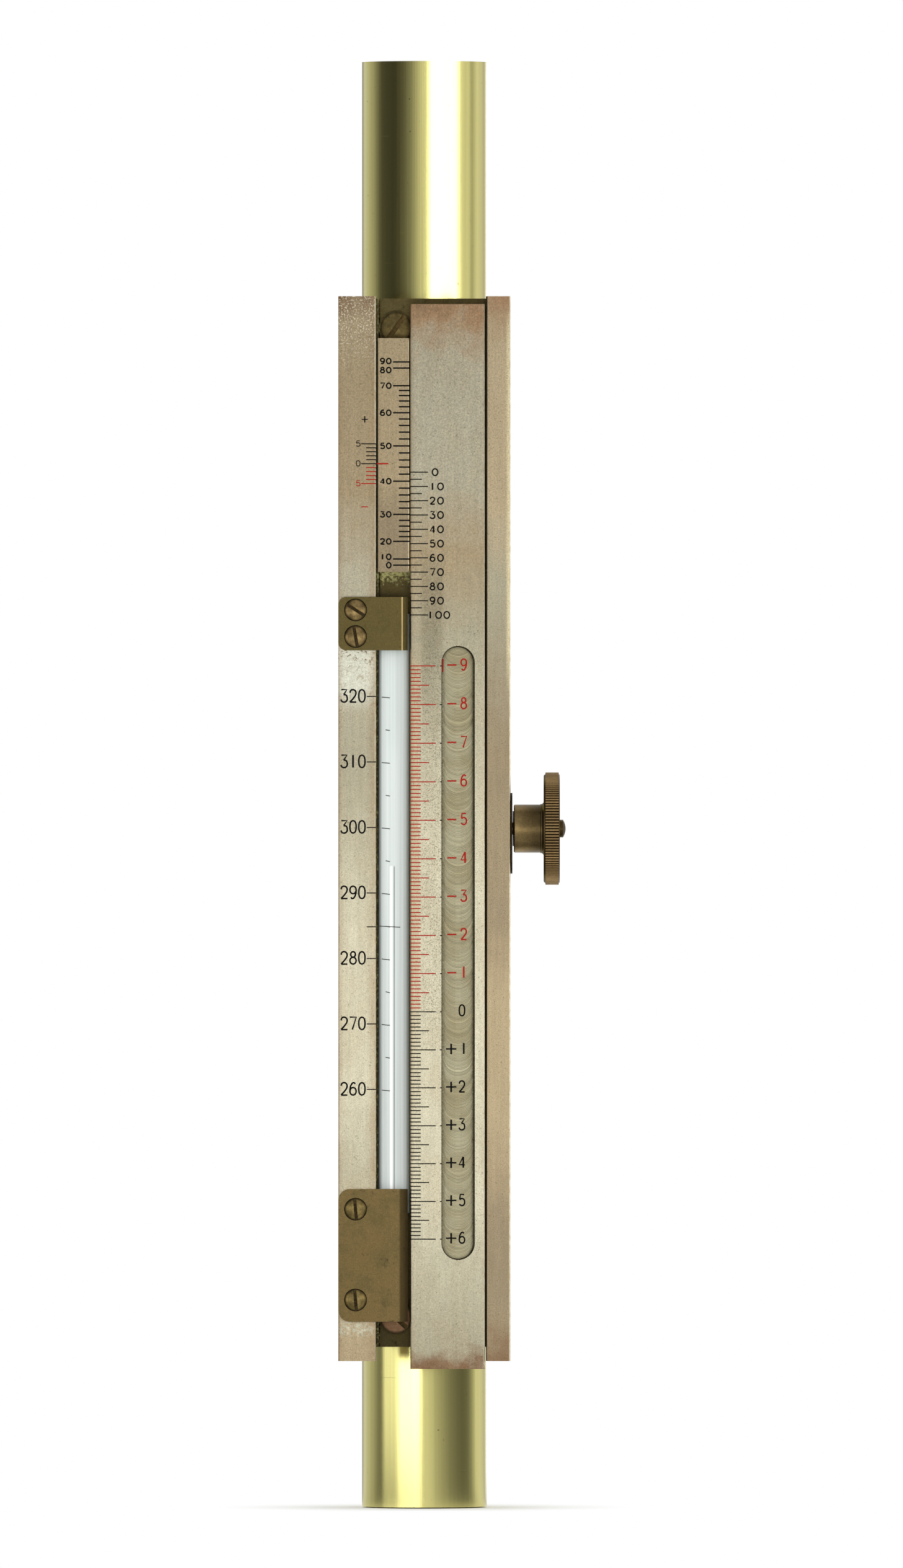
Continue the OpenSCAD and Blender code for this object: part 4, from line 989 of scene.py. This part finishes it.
def dressScrews(node, name, size, screws):
    # the slots' walls and floors get painted shade, and each head keeps the rings of its own turning
    shape = mergedCopy(node)
    turning = shape.loops.layers.uv.new("turning")
    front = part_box(node)[0][1] / mm
    floor = front + size["height"] / 2
    for face in shape.faces:
        middle = face.calc_center_median() / mm
        k = min(range(len(screws)), key=lambda k: math.hypot(middle.x - screws[k][0], middle.z - screws[k][1]))
        x, z, turn, finish = screws[k]
        aside = abs((middle.x - x) * math.sin(math.radians(turn)) + (middle.z - z) * math.cos(math.radians(turn)))
        level = abs(face.normal.y)
        onHead = middle.y < floor + 0.02 and math.hypot(middle.x - x, middle.z - z) < size["head"]
        wallOrFloor = level < 0.05 or level > 0.99
        inSlot = onHead and wallOrFloor and aside < size["slot"] / 2 + 0.02
        # slot walls and floors: painted shade
        face.material_index = 2 + (level > 0.9) if inSlot else min(k, 1)
        for corner in face.loops:
            corner[turning].uv = (corner.vert.co.x / mm - x, corner.vert.co.z / mm - z)
    materials = [finishes[key] for key in (screws[0][3], screws[1][3], "gapShadeAndDirt", size["floor"])]
    addPiece(name, meshFrom(shape, name, materials, 30), "frame", [node])


def dressBracket(node, name, finish, screws):
    # the seats of the screws get painted shade, as dark rings
    shape = mergedCopy(node)
    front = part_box(node)[0][1] / mm
    for face in shape.faces:
        middle = face.calc_center_median() / mm
        near = min(math.hypot(middle.x - x, middle.z - z) for x, z, _, _ in screws)
        if near < smallScrew["seat"] / 2 + 0.02 and middle.y > front + 0.02:
            face.material_index = 1
    mesh = meshFrom(shape, name, [finishes[finish], finishes["gapShadeAndDirt"]], 30)
    addPiece(name, mesh, "frame", [node])


for node, (name, size, screws) in slotted.items():
    dressScrews(node, name, size, screws)
dressBracket("upper_bracket", "upperBracket", "upperBracket", slotted["upper_bracket_screws"][2])
dressBracket("lower_bracket", "lowerBracket", "lowerBracket", slotted["lower_bracket_screws"][2])
print("screws and brackets dressed")

# Finishes of the nodes that stay
nodeFinish = {
    "lower_packing": "cork", "upper_packing": "cork", "lower_saddle": "saddle", "upper_saddle": "saddle",
    "base_plate": "floor", "left_bar_screws": "screw", "right_bar_screws": "screw", "slide_rack": "gear",
    "rack_screws": "screw", "pinion": "gear", "pinion_shaft": "steel", "bearing_bush": "plate", "bush_screws": "screw",
    "friction_washer": "gapShadeAndDirt", "clamp_stud": "strip", "clamp_washer": "gear", "clamp_nut": "gear",
    "thermometer_backing": "enamel", "cork_pads": "cork",
}
for name, finish in nodeFinish.items():
    for place in nodes[name].material_slots:
        place.material = finishes[finish]
print("nodes finished:", len(nodeFinish))


# Studio. Lights: width and height in metres, and brightness. Tube strips: (angle from the front, half angle, foot, top,
# brightness). Bands: (angle, level) of the room round the object, as metal shows it.
studio = {"ambient": 1.05, "floorHalf": 4.0, "floorLevel": -0.0002, "floorTone": (236, 236, 234),
          "shadow": (0.014, 0.045), "tubeReach": 0.3}
softLights = {
    "frontSoft": ((0.0, -0.5, 0.1), 0.4, 0.11, 1.5), "leftBox": ((-0.36, -0.36, 0.12), 0.2, 0.24, 1.2),
    "rightBox": ((0.36, -0.36, 0.16), 0.2, 0.24, 1.2), "leftSide": ((-0.5, 0.0, 0.14), 0.3, 0.3, 0.8),
    "rightSide": ((0.5, 0.0, 0.14), 0.3, 0.3, 0.8),
}
tubeStrips = {
    "upperStrip": (37, 28, 0.16, 0.46, 3.2), "upperFill": (79, 14, 0.16, 0.46, 0.6),
    "lowerStrip": (-28, 21, 0.0, 0.12, 3.0), "lowerFill": (-65, 16, 0.0, 0.12, 1.1),
    "backStrip": (170, 7, 0.0, 0.3, 1.4),
}
roomLevels = [(-180, 0.7), (-170, 0.3), (-160, 0.3), (-148, 0.7), (-125, 0.5), (-107, 0.34), (-91, 0.07), (-73, 0.03),
              (-55, 0.02), (-37, 0.08), (-20, 0.27), (-8, 0.6), (8, 0.69), (22, 0.4), (49, 0.14), (71, 0.06),
              (83, 0.05), (96, 0.2), (111, 0.75), (132, 0.66), (146, 0.4), (158, 0.95), (172, 1.0), (180, 0.7)]
white = (1, 1, 1, 1)


def linked(name, state):
    # a list for lights of what they light: only the polished tube, or all but it
    group = bpy.data.collections.new(name)
    group.objects.link(bpy.data.objects["brassTube"])
    group.collection_objects[0].light_linking.link_state = state
    return group


def areaLight(name, at, width, height, brightness, receivers):
    # faces the tube's axis at its own height
    light = bpy.data.lights.new(name, "AREA")
    light.shape, light.size, light.size_y = "RECTANGLE", width, height
    light.energy = brightness * math.pi * width * height
    holder = newObject(name, light)
    holder.location = at
    holder.rotation_euler = (Vector((0, 0, at[2])) - Vector(at)).to_track_quat("-Z", "Y").to_euler()
    holder.visible_camera = False
    holder.light_linking.receiver_collection = receivers


def makeLights():
    tubeOnly, allButTube = linked("tubeOnly", "INCLUDE"), linked("allButTube", "EXCLUDE")
    for name, (at, width, height, brightness) in softLights.items():
        areaLight(name, at, width, height, brightness, allButTube)
    reach = studio["tubeReach"]
    for name, (turn, half, foot, top, brightness) in tubeStrips.items():
        spot = (reach * math.sin(math.radians(turn)), -reach * math.cos(math.radians(turn)), (foot + top) / 2)
        areaLight(name, spot, 2 * reach * math.tan(math.radians(half)), top - foot, brightness, tubeOnly)


def roomBands(direction):
    # light and dark sides of the studio round the object
    parts = put("SeparateXYZ", {0: direction}).outputs
    angle = times(calc("ARCTAN2", parts[0], times(parts[1], -1.0)), 180 / math.pi)
    return toneRamp(angle, -180, 180, [(at, (level, level, level, 1.0)) for at, level in roomLevels])


def clearRays(path):
    # rays that see plain white: the camera's own, and those through glass
    return calc("MAXIMUM", path["Is Camera Ray"], path["Is Transmission Ray"])


def makeFloor():
    shape = bmesh.new()
    bmesh.ops.create_grid(shape, x_segments=8, y_segments=8, size=studio["floorHalf"])
    for vert in shape.verts:
        vert.co.z = studio["floorLevel"]
    mesh = bpy.data.meshes.new("floor")
    shape.to_mesh(mesh)
    shape.free()
    material = bpy.data.materials.new("paleFloor")
    tree = blankTree(material)
    place = put("TexCoord", tree=tree).outputs["Object"]
    away = put("VectorMath", {0: place}, operation="LENGTH").outputs["Value"]
    pale = put("BsdfDiffuse", {"Color": tone(*studio["floorTone"])}, tree)
    path = put("LightPath", tree=tree).outputs
    clear = clearRays(path)
    bands = mixTones(0.1, roomBands(place), white)
    glow = put("Emission", {"Color": mixTones(clear, bands, white), "Strength": 1.0})
    seen = calc("MAXIMUM", clear, path["Is Glossy Ray"])
    fade = times(rise(away, *studio["shadow"]), seen)
    mixed = put("MixShader", {0: fade, 1: pale.outputs[0], 2: glow.outputs[0]})
    put("OutputMaterial", {"Surface": mixed.outputs[0]})
    mesh.materials.append(material)
    newObject("floor", mesh)


def makeWorld():
    world = bpy.data.worlds.new("studioWorld")
    bpy.context.scene.world = world
    tree = blankTree(world)
    path = put("LightPath", tree=tree).outputs
    room = roomBands(put("TexCoord", tree=tree).outputs["Generated"])
    dim = (*[studio["ambient"]] * 3, 1.0)
    light = mixTones(clearRays(path), mixTones(path["Is Glossy Ray"], dim, room), white)
    sky = put("Background", {"Color": light, "Strength": 1.0})
    put("OutputWorld", {"Surface": sky.outputs[0]})


makeLights()
makeFloor()
makeWorld()
print("studio lit")
